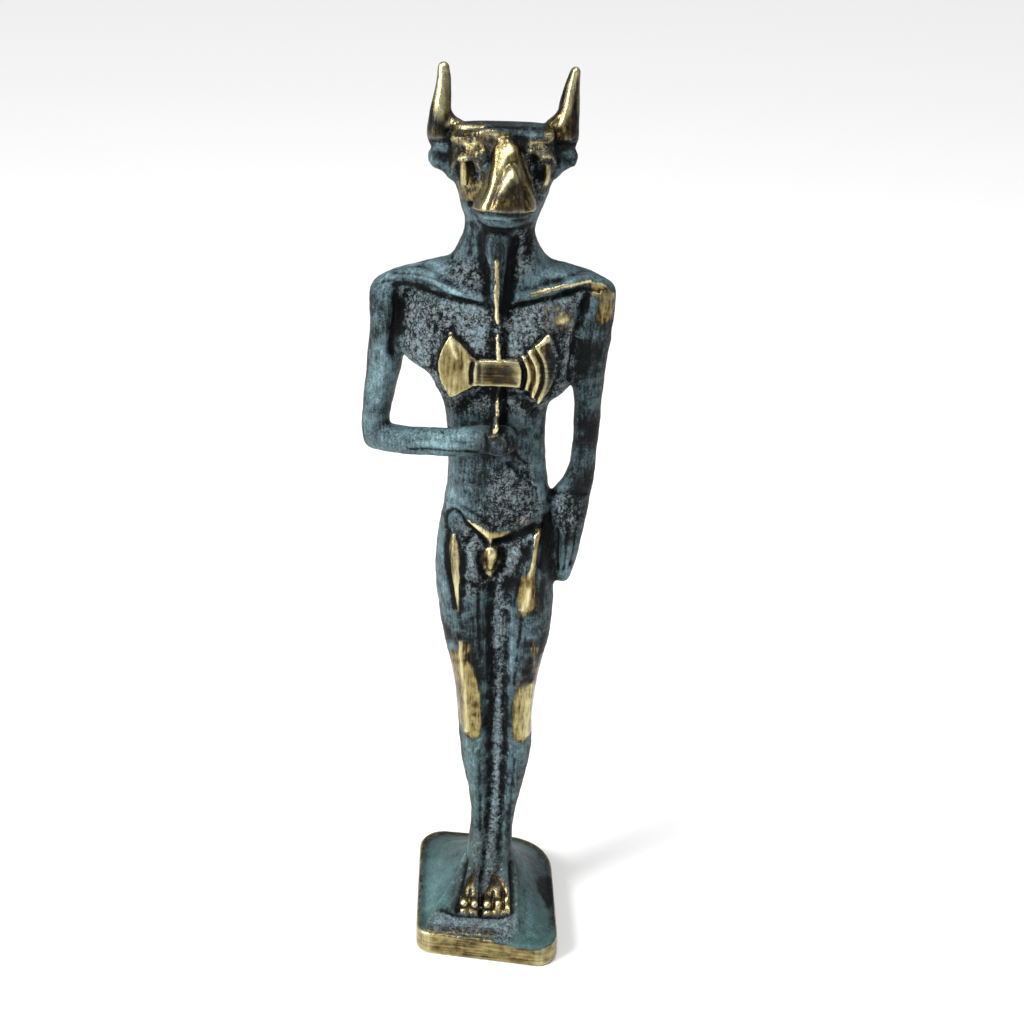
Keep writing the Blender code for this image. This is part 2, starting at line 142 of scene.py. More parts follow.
LEFT_LEG = [
    (4, 2, 5.9, -4.4, 4.2),
    (8, 2.2, 5.2, -4, 3.7),
    (12.6, 2.4, 4.9, -3.5, 3.6),
    (17.4, 2.4, 5.2, -3.5, 4.2),
    (22, 2.5, 5.9, -3.8, 4.8),
    (26, 2.6, 6.8, -4.1, 5.2),
    (32, 2.6, 7.9, -4.7, 5.3),
    (37, 2.6, 8.3, -5.2, 5),
    (43, 2.6, 8.1, -6, 4.5),
    (48, 2.5, 8.5, -6.3, 4.2),
    (53, 2.4, 9.2, -6.4, 4.3),
    (58, 2.3, 10.3, -6.2, 4.8),
    (63, 2.2, 11.2, -6.2, 5.8),
    (69, 2, 11.4, -6.3, 6.6),
    (75, 1.8, 11.2, -6.3, 7.2),
    (81, 1.5, 10.6, -5.9, 7),
    (85, 1.2, 9.9, -5.3, 6.4),
    (90, 1, 9.1, -4.4, 5.4),
]

# Limbs: x, y, height, half the width and half the depth along a path
RIGHT_SHOULDER = [
    (-5, 0.8, 131, 2.8, 4.6),
    (-11.6, 0.5, 129.5, 2.8, 4),
    (-16.6, 0.2, 128.1, 2.9, 3.6),
    (-19.3, 0, 126.9, 2.9, 3.3),
]
LEFT_SHOULDER = [
    (5, 0.8, 130.6, 2.8, 4.6),
    (9.8, 0.5, 129.7, 2.9, 4),
    (14, 0.2, 128.7, 2.9, 3.6),
    (17.3, 0, 127.3, 2.9, 3.3),
]
RIGHT_ARM = [
    (-19.2, 0, 126.6, 3.2, 3.5),
    (-19.2, 0, 120.5, 3.3, 3.5),
    (-20, 0.2, 113.5, 3.1, 3.3),
    (-21.2, 0.3, 107, 2.7, 2.9),
    (-21.8, 0.2, 102, 2.5, 2.7),
    (-21.5, 0, 99.6, 2.4, 2.6),
]
RIGHT_FOREARM = [
    (-21.7, 0, 99.8, 2.4, 2.5),
    (-17, -2.6, 100.2, 2.6, 2.5),
    (-11.5, -5.4, 101.1, 2.6, 2.4),
    (-6, -7.2, 102, 2.7, 2.2),
    (-1.5, -7.8, 102.8, 2.6, 2),
]
LEFT_ARM = [
    (17.1, 0, 126.6, 3.2, 3.5),
    (16.2, 0, 119.5, 3.5, 3.5),
    (15.9, 0.3, 113.5, 3.1, 3.3),
    (16.2, 0.6, 107, 2.5, 2.9),
    (16.1, 0.6, 102, 2.4, 2.7),
    (15.8, 0.2, 96, 2.4, 2.6),
    (15, -0.2, 92, 2.9, 2.9),
    (13.6, -0.4, 88, 3.7, 3.2),
    (13.3, -0.6, 83, 3.2, 3.1),
    (13.2, -0.8, 77.5, 2.4, 2.8),
    (12.8, -0.8, 73.5, 1.7, 2.2),
]
RIGHT_HORN = [
    (-8, 0, 151.6, 2.5, 2.4),
    (-10, -0.2, 153.4, 2.4, 2.3),
    (-10.3, -0.2, 156.2, 1.95, 1.9),
    (-9.95, 0, 159.5, 1.55, 1.5),
    (-9.7, 0.2, 162.5, 1.2, 1.15),
    (-9.75, 0.2, 164.3, 1, 0.9),
]
LEFT_HORN = [
    (8, 0, 151.8, 2.5, 2.4),
    (10.2, -0.2, 153.4, 2.3, 2.3),
    (10.6, -0.2, 156.2, 2, 1.9),
    (10.9, 0, 159.4, 1.65, 1.6),
    (11.3, 0.2, 162.4, 1.2, 1.2),
    (11.6, 0.2, 164.1, 0.92, 0.9),
]
HORN_ROOTS = [
    [(-9, 0, 157.6, 0.5, 0.9), (-8.2, -0.3, 156.3, 0.6, 1.4), (-7, -0.6, 155.6, 0.6, 1.6)],
    [(10, 0, 158.6, 0.6, 0.9), (9.2, -0.2, 157, 0.8, 1.4), (7.9, -0.6, 155.9, 0.8, 1.7)],
]
RIGHT_FOOT = [
    (-1.9, 3, 2.6, 2.4, 2.6),
    (-2.2, -2, 4.2, 2.4, 2.5),
    (-2.8, -6, 3, 2.3, 2.4),
    (-3.2, -8.6, 1.9, 2.2, 1.7),
]
LEFT_FOOT = [
    (3, 3, 2.6, 2.4, 2.6),
    (2.6, -2, 4.2, 2.5, 2.5),
    (2.1, -6, 3, 2.6, 2.4),
    (1.9, -8.6, 1.9, 2.6, 1.7),
]
TOES = [(-4.3, -9.4), (-2.1, -9.7), (0.3, -9.8), (2.5, -9.5), (4, -8.8)]

# Lumps: centre and half sizes
LUMPS = [
    (-5.2, 3.4, 77.5, 4.9, 4.6, 8.5),
    (5.6, 3.4, 77.5, 4.9, 4.6, 8.5),
    (0.5, -5.4, 141.5, 4.3, 4.4, 1.6),
    (-9.9, 0, 150, 2.6, 1.8, 2.3),
    (10.1, 0, 150.6, 2.6, 1.8, 2.4),
    (-7.9, 0, 148.4, 1.9, 1.8, 2.4),
    (8.4, 0, 148.9, 1.9, 1.8, 2.4),
    (0.8, -7.8, 102.6, 3.3, 2.3, 3),
]

# Raised bands that lie on the front: x, height, half width and rise along each
BANDS = [
    [(-2.6, 127.6, 0.9, 0.8), (-8, 128.7, 1, 1), (-13.4, 130.6, 1, 1), (-18.6, 129.6, 1, 0.7)],
    [(3.2, 127.7, 0.9, 0.8), (10, 129.2, 1, 1), (14.5, 130.4, 1, 1.1), (17.6, 129.6, 1, 0.8)],
    [(-0.5, 136.5, 2.6, 1.6), (-0.4, 131, 1.9, 1.6), (-0.4, 126.5, 1.2, 1.5), (0.4, 122.9, 0.5, 0.8)],
    [(-7.6, 87.8, 1.3, 0.4), (-5.2, 86.6, 1.4, 0.5), (-2.5, 84.3, 1.5, 0.6), (-0.4, 82.7, 1.4, 0.7)],
    [(9, 87.6, 1.3, 0.4), (4.7, 85.3, 1.4, 0.5), (2, 83.9, 1.5, 0.6), (-0.4, 82.7, 1.4, 0.7)],
    [(8.2, 85.6, 0.8, 0.7), (7.2, 79.6, 0.9, 0.8), (6.4, 75, 1.4, 0.6), (5.9, 69, 1.7, 0.4)],
    [(-7.2, 83, 0.5, 0.4), (-7, 77, 0.9, 0.7), (-6.6, 71, 0.7, 0.6), (-6.3, 66, 0.4, 0.4)],
    [(0.1, 121.6, 0.6, 0.8), (0.4, 118, 0.6, 0.8), (0.4, 111.8, 0.6, 0.9), (-0.2, 104, 0.6, 2.2)],
    [(-6.4, 150.9, 1, 0.6), (-4.6, 152, 1.3, 1), (-2.6, 151.9, 1, 0.8)],
    [(7.8, 151.1, 1, 0.6), (6.2, 152.2, 1.3, 1), (4.2, 152, 1, 0.8)],
    [(-6, 150.4, 0.6, 0.5), (-6, 148.9, 0.8, 0.7), (-5.8, 147.2, 0.6, 0.5)],
    [(7.3, 150.6, 0.6, 0.5), (7.3, 149, 0.8, 0.7), (7.1, 147.4, 0.6, 0.5)],
    [(-7.4, 154.3, 0.9, 0.8), (0.2, 155, 0.9, 0.7), (7.6, 154.5, 0.9, 0.8)],
    [(-0.4, 81.6, 0.7, 0.9), (-0.4, 79, 1.5, 1.8), (-0.6, 76.4, 1, 1.2)],
]

# Outlines of the double axe: x and height, with its rise above the chest and its thickness
AXE_RIGHT_BLADE = [
    (-8, 121.8), (-9.5, 119), (-10.2, 116.5), (-9.6, 113.3), (-8, 110.3),
    (-5.8, 111.5), (-3.8, 112.7), (-2.6, 113), (-2.6, 117), (-4.3, 118), (-6, 119.9),
]
AXE_LEFT_BLADE = [
    (4, 117.4), (5.2, 118.4), (6.7, 120.2), (8.6, 122.3), (9.9, 120.2), (10.6, 117.6),
    (10.3, 115), (9, 111.9), (7.2, 109.3), (5.6, 111), (4.6, 112.5), (4, 112.9),
]
AXE_HUB = [(-2.8, 117.3), (4.2, 117.3), (4.2, 112.5), (-2.8, 112.7)]
AXE_RISE = 1.1
AXE_THICKNESS = 4

# The mound round the feet: its rise, steepness, foot and centre, the low sector in front in degrees,
# with its own rise and steepness and how softly it begins, and how deep the mound reaches in the plinth
MOUND_RISE = 8.6
MOUND_STEEPNESS = 1.7
MOUND_FOOT = (4.6, 4.4)
MOUND_CENTRE = (0.7, 0.4)
FRONT_SECTOR = (-129, -72)
FRONT_RISE = 1.5
FRONT_STEEPNESS = 0.6
SECTOR_SOFTNESS = 0.16
MOUND_ROOT = -2.4

# Chased lines: the side they are seen from, half width, rise (below nothing for a cut) and path
CHASING = [
    # The crown's rim, the brows and the lumps of the forehead
    ("front", 0.55, 0.40, [(-8.7, 155.6), (-5.5, 156), (-2.7, 156.1), (0.7, 156.1), (4, 156),
                           (6.9, 155.8)]),
    ("front", 0.55, -0.35, [(-8.6, 154.5), (-5.4, 155), (-2.9, 154.9), (3, 155), (7.5, 154.6)]),
    ("front", 0.9, 0.35, [(-2.8, 155.3), (-1.1, 155.3), (0.9, 154.5)]),
    ("front", 0.8, 0.30, [(-8.3, 154.6), (-7.4, 154.2)]),
    ("front", 0.9, 0.30, [(-7.6, 153.5), (-5.4, 153.2), (-3.9, 153.7), (-2.9, 152.7)]),
    ("front", 0.4, -0.30, [(-6.9, 152.5), (-5, 152.4), (-3.5, 152.8)]),
    ("front", 0.9, 0.35, [(4.1, 153.6), (5.4, 153.9), (6.7, 153.5), (7.3, 152.8)]),
    ("front", 0.6, -0.35, [(3.6, 152.6), (3.9, 154), (2.6, 154.7)]),
    # The eyes, each an almond between two sockets under a lid
    ("front", 0.45, 0.35, [(-8, 148.9), (-7.1, 150.8), (-5.6, 151.2), (-3.8, 150.3), (-3.4, 149.2)]),
    ("front", 0.6, -0.75, [(-7.3, 150.2), (-7.3, 147.8)]),
    ("front", 0.6, -0.75, [(-5, 150.4), (-4.4, 148.6), (-4.2, 147.6)]),
    ("front", 1, 0.40, [(-6.1, 150.3), (-5.9, 148.6), (-5.8, 146.9)]),
    ("front", 0.45, 0.35, [(5.9, 150.5), (7, 151.9), (8.4, 151.1), (9, 149)]),
    ("front", 1, -0.70, [(5, 151.6), (5.9, 149.8), (6.2, 148.2)]),
    ("front", 0.70, 0.45, [(7.6, 150.4), (7.6, 148.8), (7.2, 147.2)]),
    ("front", 0.35, -0.45, [(8.3, 150.2), (8.3, 147.9)]),
    # The muzzle: an upturned V, the pad in it, the corners of the mouth and the lip
    ("front", 0.60, -0.35, [(-1.6, 145), (-0.5, 148), (0.6, 150.2), (1.6, 151.6)]),
    ("front", 0.65, -0.65, [(2.2, 151.5), (3.4, 149.4), (4.2, 146.8), (4.7, 144.8)]),
    ("front", 1.2, 0.45, [(1.7, 149.8), (1.8, 149)]),
    ("front", 0.35, 0.15, [(-0.9, 153.4), (-0.8, 151.4), (-1, 149.8)]),
    ("front", 0.45, -0.7, [(-5, 143.4), (-1.5, 143.5), (1, 143.4), (5, 143.4)]),
    ("front", 0.6, 0.3, [(-3.1, 142.2), (-0.7, 142.3), (1.5, 142.1)]),
    ("front", 0.6, -0.4, [(-3.9, 145), (-2.6, 147.2), (-2.3, 149.6), (-2.3, 152)]),
    ("front", 0.7, -0.4, [(6.4, 144.8), (5.4, 147.2), (4.5, 150), (3.8, 152.4)]),
    # The ears' cups and the creases round the horns
    ("front", 0.8, -0.7, [(-10.8, 150.3), (-9.8, 150.2)]),
    ("front", 0.5, 0.25, [(-10.6, 152), (-11.7, 150.6), (-11, 148.7)]),
    ("front", 0.9, -0.8, [(10.3, 150.3), (11, 150.1)]),
    ("front", 0.5, 0.35, [(9.4, 151.6), (10.9, 152.1), (12.1, 150.9), (11.9, 149.3)]),
    ("front", 0.5, -0.5, [(9, 153), (10.3, 153.1), (12, 152.8)]),
    ("front", 0.5, -0.5, [(-9, 153), (-10.5, 152.8), (-11.8, 152.6)]),
    ("front", 0.45, 0.22, [(11.7, 164.6), (11.1, 162.3), (10.5, 158.7), (9.4, 155.8), (7.6, 154.9)]),
    ("front", 0.45, -0.20, [(12.2, 163.6), (11.9, 160.8), (11.5, 157.6)]),
    ("front", 0.35, -0.20, [(-9.2, 163.6), (-9, 159.4), (-9.1, 156.8)]),
    # The neck's keel with a hollow on each side
    ("front", 0.5, 0.35, [(-0.4, 134.1), (-0.3, 131), (-0.3, 127.7), (-0.1, 123.9)]),
    ("front", 1.1, -0.45, [(-3, 137.5), (-2.6, 133), (-2.2, 129), (-1.6, 126.5)]),
    ("front", 1.1, -0.50, [(2.6, 137.5), (2.3, 133), (1.9, 129), (1.5, 125.4)]),
    ("front", 0.8, -0.30, [(-5, 139.5), (-5.2, 135)]),
    ("front", 0.8, -0.30, [(4.9, 139.5), (5, 134)]),
    # The collar bones and what runs off them into the arms
    ("front", 0.35, -0.25, [(-18, 130.7), (-12.9, 130.8), (-8.6, 129.8), (-5.3, 128.4)]),
    ("front", 0.50, -0.50, [(-17.8, 128.8), (-15.3, 129.1), (-10.6, 127.8), (-5.3, 127), (-2, 126.2)]),
    ("front", 0.50, -0.50, [(17, 128.6), (14, 128.9), (10, 127.7), (5, 126.9), (2.2, 126.2)]),
    ("front", 0.30, -0.20, [(-21, 128.6), (-18.6, 129.4), (-16, 129.9)]),
    ("front", 0.75, -0.75, [(-17.6, 128.3), (-17.3, 125), (-17.7, 121.6), (-18.4, 118), (-18.2, 116.6)]),
    ("front", 0.75, -0.70, [(15, 127.8), (14.3, 124.6), (13.5, 120.6), (12.7, 116), (12.8, 113)]),
    ("front", 1.2, -0.45, [(-15.9, 127.6), (-16.2, 124), (-16.8, 120.4)]),
    ("front", 0.5, 0.25, [(12.6, 123.5), (12, 119.5), (12, 116.5)]),
    ("front", 1, 0.35, [(11.3, 124.6), (10.4, 123.9)]),
    # The axe's slot, arcs and edges, and the haft above and below
    ("front", 0.40, -0.60, [(-4.15, 116.7), (-4.45, 115.1), (-4.3, 113.4)]),
    ("front", 0.25, 0.20, [(-3.55, 116.9), (-3.75, 115), (-3.75, 113)]),
    ("front", 0.22, 0.15, [(-3.5, 112.9), (-0.8, 112.8), (3.5, 112.8)]),
    ("front", 0.22, 0.15, [(-3, 117.2), (0.1, 117.4), (2.4, 117.2)]),
    ("front", 0.42, -0.60, [(4, 117.5), (4.75, 115.6), (4.7, 113.4), (4.1, 111.9)]),
    ("front", 0.25, 0.20, [(4.4, 117.9), (5.35, 115.5), (5.35, 113.5), (4.6, 111.4)]),
    ("front", 0.40, -0.50, [(5.1, 118.3), (6.05, 116.2), (6.2, 113.5), (5.3, 110.8)]),
    ("front", 0.25, 0.20, [(5.2, 118.6), (6.6, 116.3), (7, 113.5), (5.9, 110)]),
    ("front", 0.40, -0.45, [(6.1, 119.5), (7.55, 117), (7.8, 113.5), (6.5, 109.7)]),
    ("front", 0.25, 0.20, [(6.6, 119.9), (8.1, 117), (8.4, 113.2), (7, 109.3)]),
    ("front", 0.30, 0.20, [(4.1, 117.7), (6.4, 119.7), (8.4, 121)]),
    ("front", 0.35, 0.20, [(-7.9, 121.2), (-7.6, 119.8), (-6.9, 117.7)]),
    ("front", 0.9, -0.40, [(-1.2, 121.6), (-1.2, 118.6)]),
    ("front", 0.9, -0.40, [(1.5, 121.6), (1.5, 118.6)]),
    ("front", 0.35, 0.25, [(-0.2, 121.4), (0.1, 119.2), (0.2, 117.7)]),
    ("front", 0.32, 0.30, [(0.4, 111.9), (0.1, 109), (0.4, 106.3), (-0.2, 105)]),
    ("front", 0.7, -0.45, [(1.4, 111.6), (1.5, 108.6), (1.3, 105.2)]),
    ("front", 1.6, -0.70, [(-6, 107.4), (-4.4, 109.6), (-2.2, 110.9), (0.2, 111.2), (3.2, 110.6),
                           (5.4, 108.8), (6.6, 107)]),
    # The fist, its fingers, and the long lines of the forearm
    ("front", 0.8, 0.35, [(-0.2, 102.6), (0.9, 102)]),
    ("front", 0.30, -0.30, [(-1.8, 104), (-1.3, 102.4), (-1.4, 101)]),
    ("front", 0.28, -0.25, [(1.9, 104.4), (2.3, 102.8), (1.9, 101.2)]),
    ("front", 0.28, -0.22, [(3, 104), (3.4, 102.6), (3, 101.4)]),
    ("front", 0.25, -0.20, [(-15, 99.9), (-11.5, 100.6), (-7.2, 100.9), (-3, 100.9)]),
    ("front", 0.25, -0.16, [(-15, 101.4), (-12.4, 102.4), (-7.2, 102.7), (-3.9, 102.9)]),
    ("front", 0.3, -0.20, [(-9.8, 104.6), (-8.8, 103)]),
    # The fingers of the hanging hand
    ("front", 0.30, -0.35, [(11.6, 83.6), (11.7, 79.4), (11.9, 75.4)]),
    ("front", 0.30, -0.35, [(13.4, 84), (13.3, 79.4), (13, 75)]),
    ("front", 0.30, -0.35, [(15, 84), (14.8, 79.8), (14.2, 76)]),
    ("front", 0.5, -0.30, [(10.6, 90), (13.2, 91), (16.4, 90.4)]),
    # The belly's slanting marks, the bowl of the pelvis and its knob
    ("front", 0.4, -0.25, [(3.2, 99.6), (5.4, 97.2)]),
    ("front", 0.4, -0.25, [(2.2, 97.4), (4.6, 94.8)]),
    ("front", 0.35, -0.20, [(4.8, 96.2), (6.6, 94)]),
    ("front", 0.3, -0.25, [(6, 93.6), (7.4, 92), (7.8, 90)]),
    ("front", 1.2, 0.45, [(-7.1, 86), (-6.9, 85.2)]),
    ("front", 0.38, -0.45, [(-8.7, 83.4), (-8.7, 85.8), (-7.4, 87.5), (-6.1, 87), (-5.1, 85.6),
                            (-2.6, 83), (-1.1, 80.9)]),
    ("front", 0.75, -0.65, [(-0.1, 81.2), (1.8, 81.3), (3.6, 82.6), (6.4, 84), (9.1, 84.8)]),
    ("front", 0.9, -0.30, [(-3.4, 80), (-2.4, 77.6), (-1.6, 75.4)]),
    ("front", 0.6, -0.50, [(-2.5, 79.4), (-2.6, 77.4), (-1.6, 74.2)]),
    ("front", 0.6, -0.50, [(1.7, 79.8), (2, 77.4), (0.7, 74.2)]),
    ("front", 1.3, 0.65, [(3.4, 79.2), (3.2, 77.2)]),
    ("front", 1, 0.40, [(-3.9, 79.6), (-3.6, 76.8)]),
    ("front", 1, -0.40, [(5.6, 80.4), (4.2, 76.2), (3.6, 73.6)]),
    ("front", 0.6, -0.40, [(-3.9, 83.6), (-5.2, 80.6), (-5.3, 76), (-5.2, 71)]),
    ("front", 0.45, -0.45, [(-8.2, 83.3), (-8.7, 80.2), (-8.3, 76.4), (-7.5, 72.4), (-6.9, 68.2)]),
    ("front", 0.4, -0.30, [(9.6, 84), (9.2, 81), (8.6, 77)]),
    ("front", 0.4, -0.25, [(-5.4, 73.6), (-4.2, 73.8), (-3, 72.7)]),
    # The planes of the knees and shins, and the seams along the strip between the legs
    ("front", 0.6, 0.45, [(-5.9, 61.2), (-5.5, 55.1), (-4.9, 51), (-4.6, 44.7), (-4.4, 41)]),
    ("front", 0.7, -0.25, [(-4.4, 58), (-3.4, 52), (-3, 45)]),
    ("front", 0.6, 0.40, [(7.6, 52), (7.4, 47), (7.2, 40)]),
    ("front", 0.9, -0.35, [(-3, 56.4), (-2.2, 53.4), (-1.3, 49), (-0.8, 42)]),
    ("front", 0.6, 0.25, [(7.4, 60), (8, 58.1), (7.9, 55)]),
    ("front", 0.9, -0.35, [(5.4, 57.6), (4.4, 54), (3.8, 48), (3.6, 42)]),
    ("front", 0.8, -0.30, [(0, 72), (-0.5, 66), (-0.4, 61), (-0.1, 57), (0.4, 50.7), (0.1, 40),
                           (0.4, 28), (-0.1, 18), (-0.4, 10)]),
    ("front", 0.7, -0.22, [(3, 70), (2.7, 66.2), (2.9, 60), (2.6, 50), (2.9, 38), (2.5, 28), (2.6, 18),
                           (2.2, 11)]),
    ("front", 0.5, -0.30, [(-2.6, 71), (-2.4, 64), (-2, 58)]),
    ("front", 0.5, -0.25, [(-1.9, 36), (-1.6, 26), (-1.4, 16)]),
    ("front", 0.5, -0.30, [(5.4, 66), (5, 61), (4.6, 57)]),
    ("front", 0.5, -0.25, [(4.9, 34), (4.5, 26), (4.2, 16)]),
    ("front", 0.8, -0.12, [(-8.2, 70), (-8, 64), (-7.6, 60)]),
    ("front", 0.8, -0.12, [(-18.2, 124), (-18.6, 118), (-19.2, 112)]),
    ("front", 0.8, -0.12, [(-20.8, 122), (-21, 114), (-21.8, 106)]),
    ("front", 0.8, -0.16, [(16, 122), (15.4, 114), (15.6, 104), (15.4, 97)]),
    ("front", 0.7, -0.12, [(17.6, 120), (17.2, 112), (17.2, 104)]),
    ("front", 0.5, -0.12, [(4, 72), (3.9, 66), (3.7, 62)]),
    ("front", 0.5, -0.12, [(-3.4, 66), (-3, 60)]),
    ("front", 0.5, -0.12, [(-6.2, 72), (-6, 66), (-5.4, 64)]),
    ("front", 0.6, 0.20, [(-3, 36), (-2.6, 26), (-2.4, 16)]),
    # The back: spine, shoulder blades, waist, cleft and the backs of the knees
    ("back", 1, -0.75, [(0, 131), (0, 120), (0.1, 108), (0.2, 96), (0.2, 90)]),
    ("back", 1.6, 0.55, [(-4.4, 126.4), (-8.4, 123.4), (-9, 117.2)]),
    ("back", 1.6, 0.55, [(4.4, 126), (8.2, 123), (8.8, 117.2)]),
    ("back", 0.9, -0.40, [(-5.6, 121), (-6.2, 116.6), (-5, 113.4)]),
    ("back", 0.9, -0.40, [(5.6, 121), (6.2, 116.6), (5, 113.4)]),
    ("back", 0.7, -1, [(0.2, 84), (0.2, 78), (0.3, 70)]),
    ("back", 0.8, -0.45, [(-8.6, 87), (-5, 87.6), (-1.6, 86)]),
    ("back", 0.8, -0.45, [(9, 87), (5.4, 87.6), (2, 86)]),
    ("back", 0.6, -0.40, [(-9, 70.2), (-5.4, 68.6), (-1.4, 69.4)]),
    ("back", 0.6, -0.40, [(9.6, 70.2), (6, 68.6), (2, 69.4)]),
    ("back", 0.9, -0.55, [(0.3, 70), (0.5, 52), (0.9, 34), (0.8, 16)]),
    ("back", 0.7, -0.35, [(-6.4, 52), (-3.4, 51.2), (-0.8, 52)]),
    ("back", 0.7, -0.35, [(8.2, 52), (5.2, 51.2), (2.2, 52)]),
    ("back", 0.8, -0.45, [(-7, 134), (0, 132.6), (7, 134)]),
    ("back", 0.8, 0.35, [(-8.4, 155), (0, 154.6), (8.6, 155.2)]),
    ("back", 0.8, -0.50, [(-14.4, 127), (-14.6, 122), (-15.4, 117.6)]),
    ("back", 0.8, -0.50, [(13, 126.6), (12.8, 121), (12.6, 115)]),
    # The toes' clefts, the folds of the mound, and the rough step before the feet
    ("plan", 0.8, 0.5, [(-4.5, -9.9), (-4.4, -10.1)]),
    ("plan", 0.8, 0.5, [(-2.4, -10.1), (-2.3, -10.3)]),
    ("plan", 0.9, 0.5, [(0.2, -10.2), (0.3, -10.4)]),
    ("plan", 0.8, 0.5, [(2.4, -10), (2.5, -10.2)]),
    ("plan", 0.7, 0.5, [(4.1, -9.3), (4.2, -9.5)]),
    ("plan", 0.30, -0.55, [(-3.4, -10.4), (-3.2, -8)]),
    ("plan", 0.45, -0.95, [(-1, -11.2), (-1, -7.6), (-0.9, -5), (-0.6, -3.4)]),
    ("plan", 0.30, -0.55, [(1.4, -10.8), (1.4, -8.2)]),
    ("plan", 0.30, -0.55, [(3.5, -10.4), (3.4, -8)]),
    ("plan", 0.45, -0.50, [(-5.8, -10.4), (-5.2, -7.6), (-4.6, -4.8), (-4.4, -2.6)]),
    ("plan", 0.45, -0.50, [(5.3, -11.6), (5.2, -8.4), (4.9, -5.6), (4.7, -3)]),
    ("plan", 0.60, 0.45, [(-11.6, -14.2), (-9.4, -9), (-6.8, -5.1), (-5.3, -2.8), (-4.6, -0.8)]),
    ("plan", 0.80, -0.40, [(-10.2, -13.6), (-8.3, -9.4), (-6.5, -6.6), (-5.2, -4.2)]),
    ("plan", 0.50, 0.35, [(6.2, -14.4), (6.3, -10.4), (5.9, -6.4), (5.2, -3.2)]),
    ("plan", 0.90, 0.22, [(8.6, -6.4), (9.8, -10.6), (9.4, -15)]),
    ("plan", 0.80, -0.18, [(7.6, -6.8), (8.2, -10.6), (7.6, -15)]),
    ("plan", 0.90, -0.15, [(7, 3.6), (9.4, 6), (11, 9)]),
    ("plan", 0.90, 0.18, [(-5, 2.8), (-8, 5.6), (-11, 8.6)]),
    ("plan", 0.90, -0.15, [(-4.4, 4.6), (-7, 8), (-9, 12)]),
    ("plan", 0.35, -0.35, [(-8.6, -10.6), (-5.6, -11.4), (-1, -11.7), (4.6, -12)]),
]

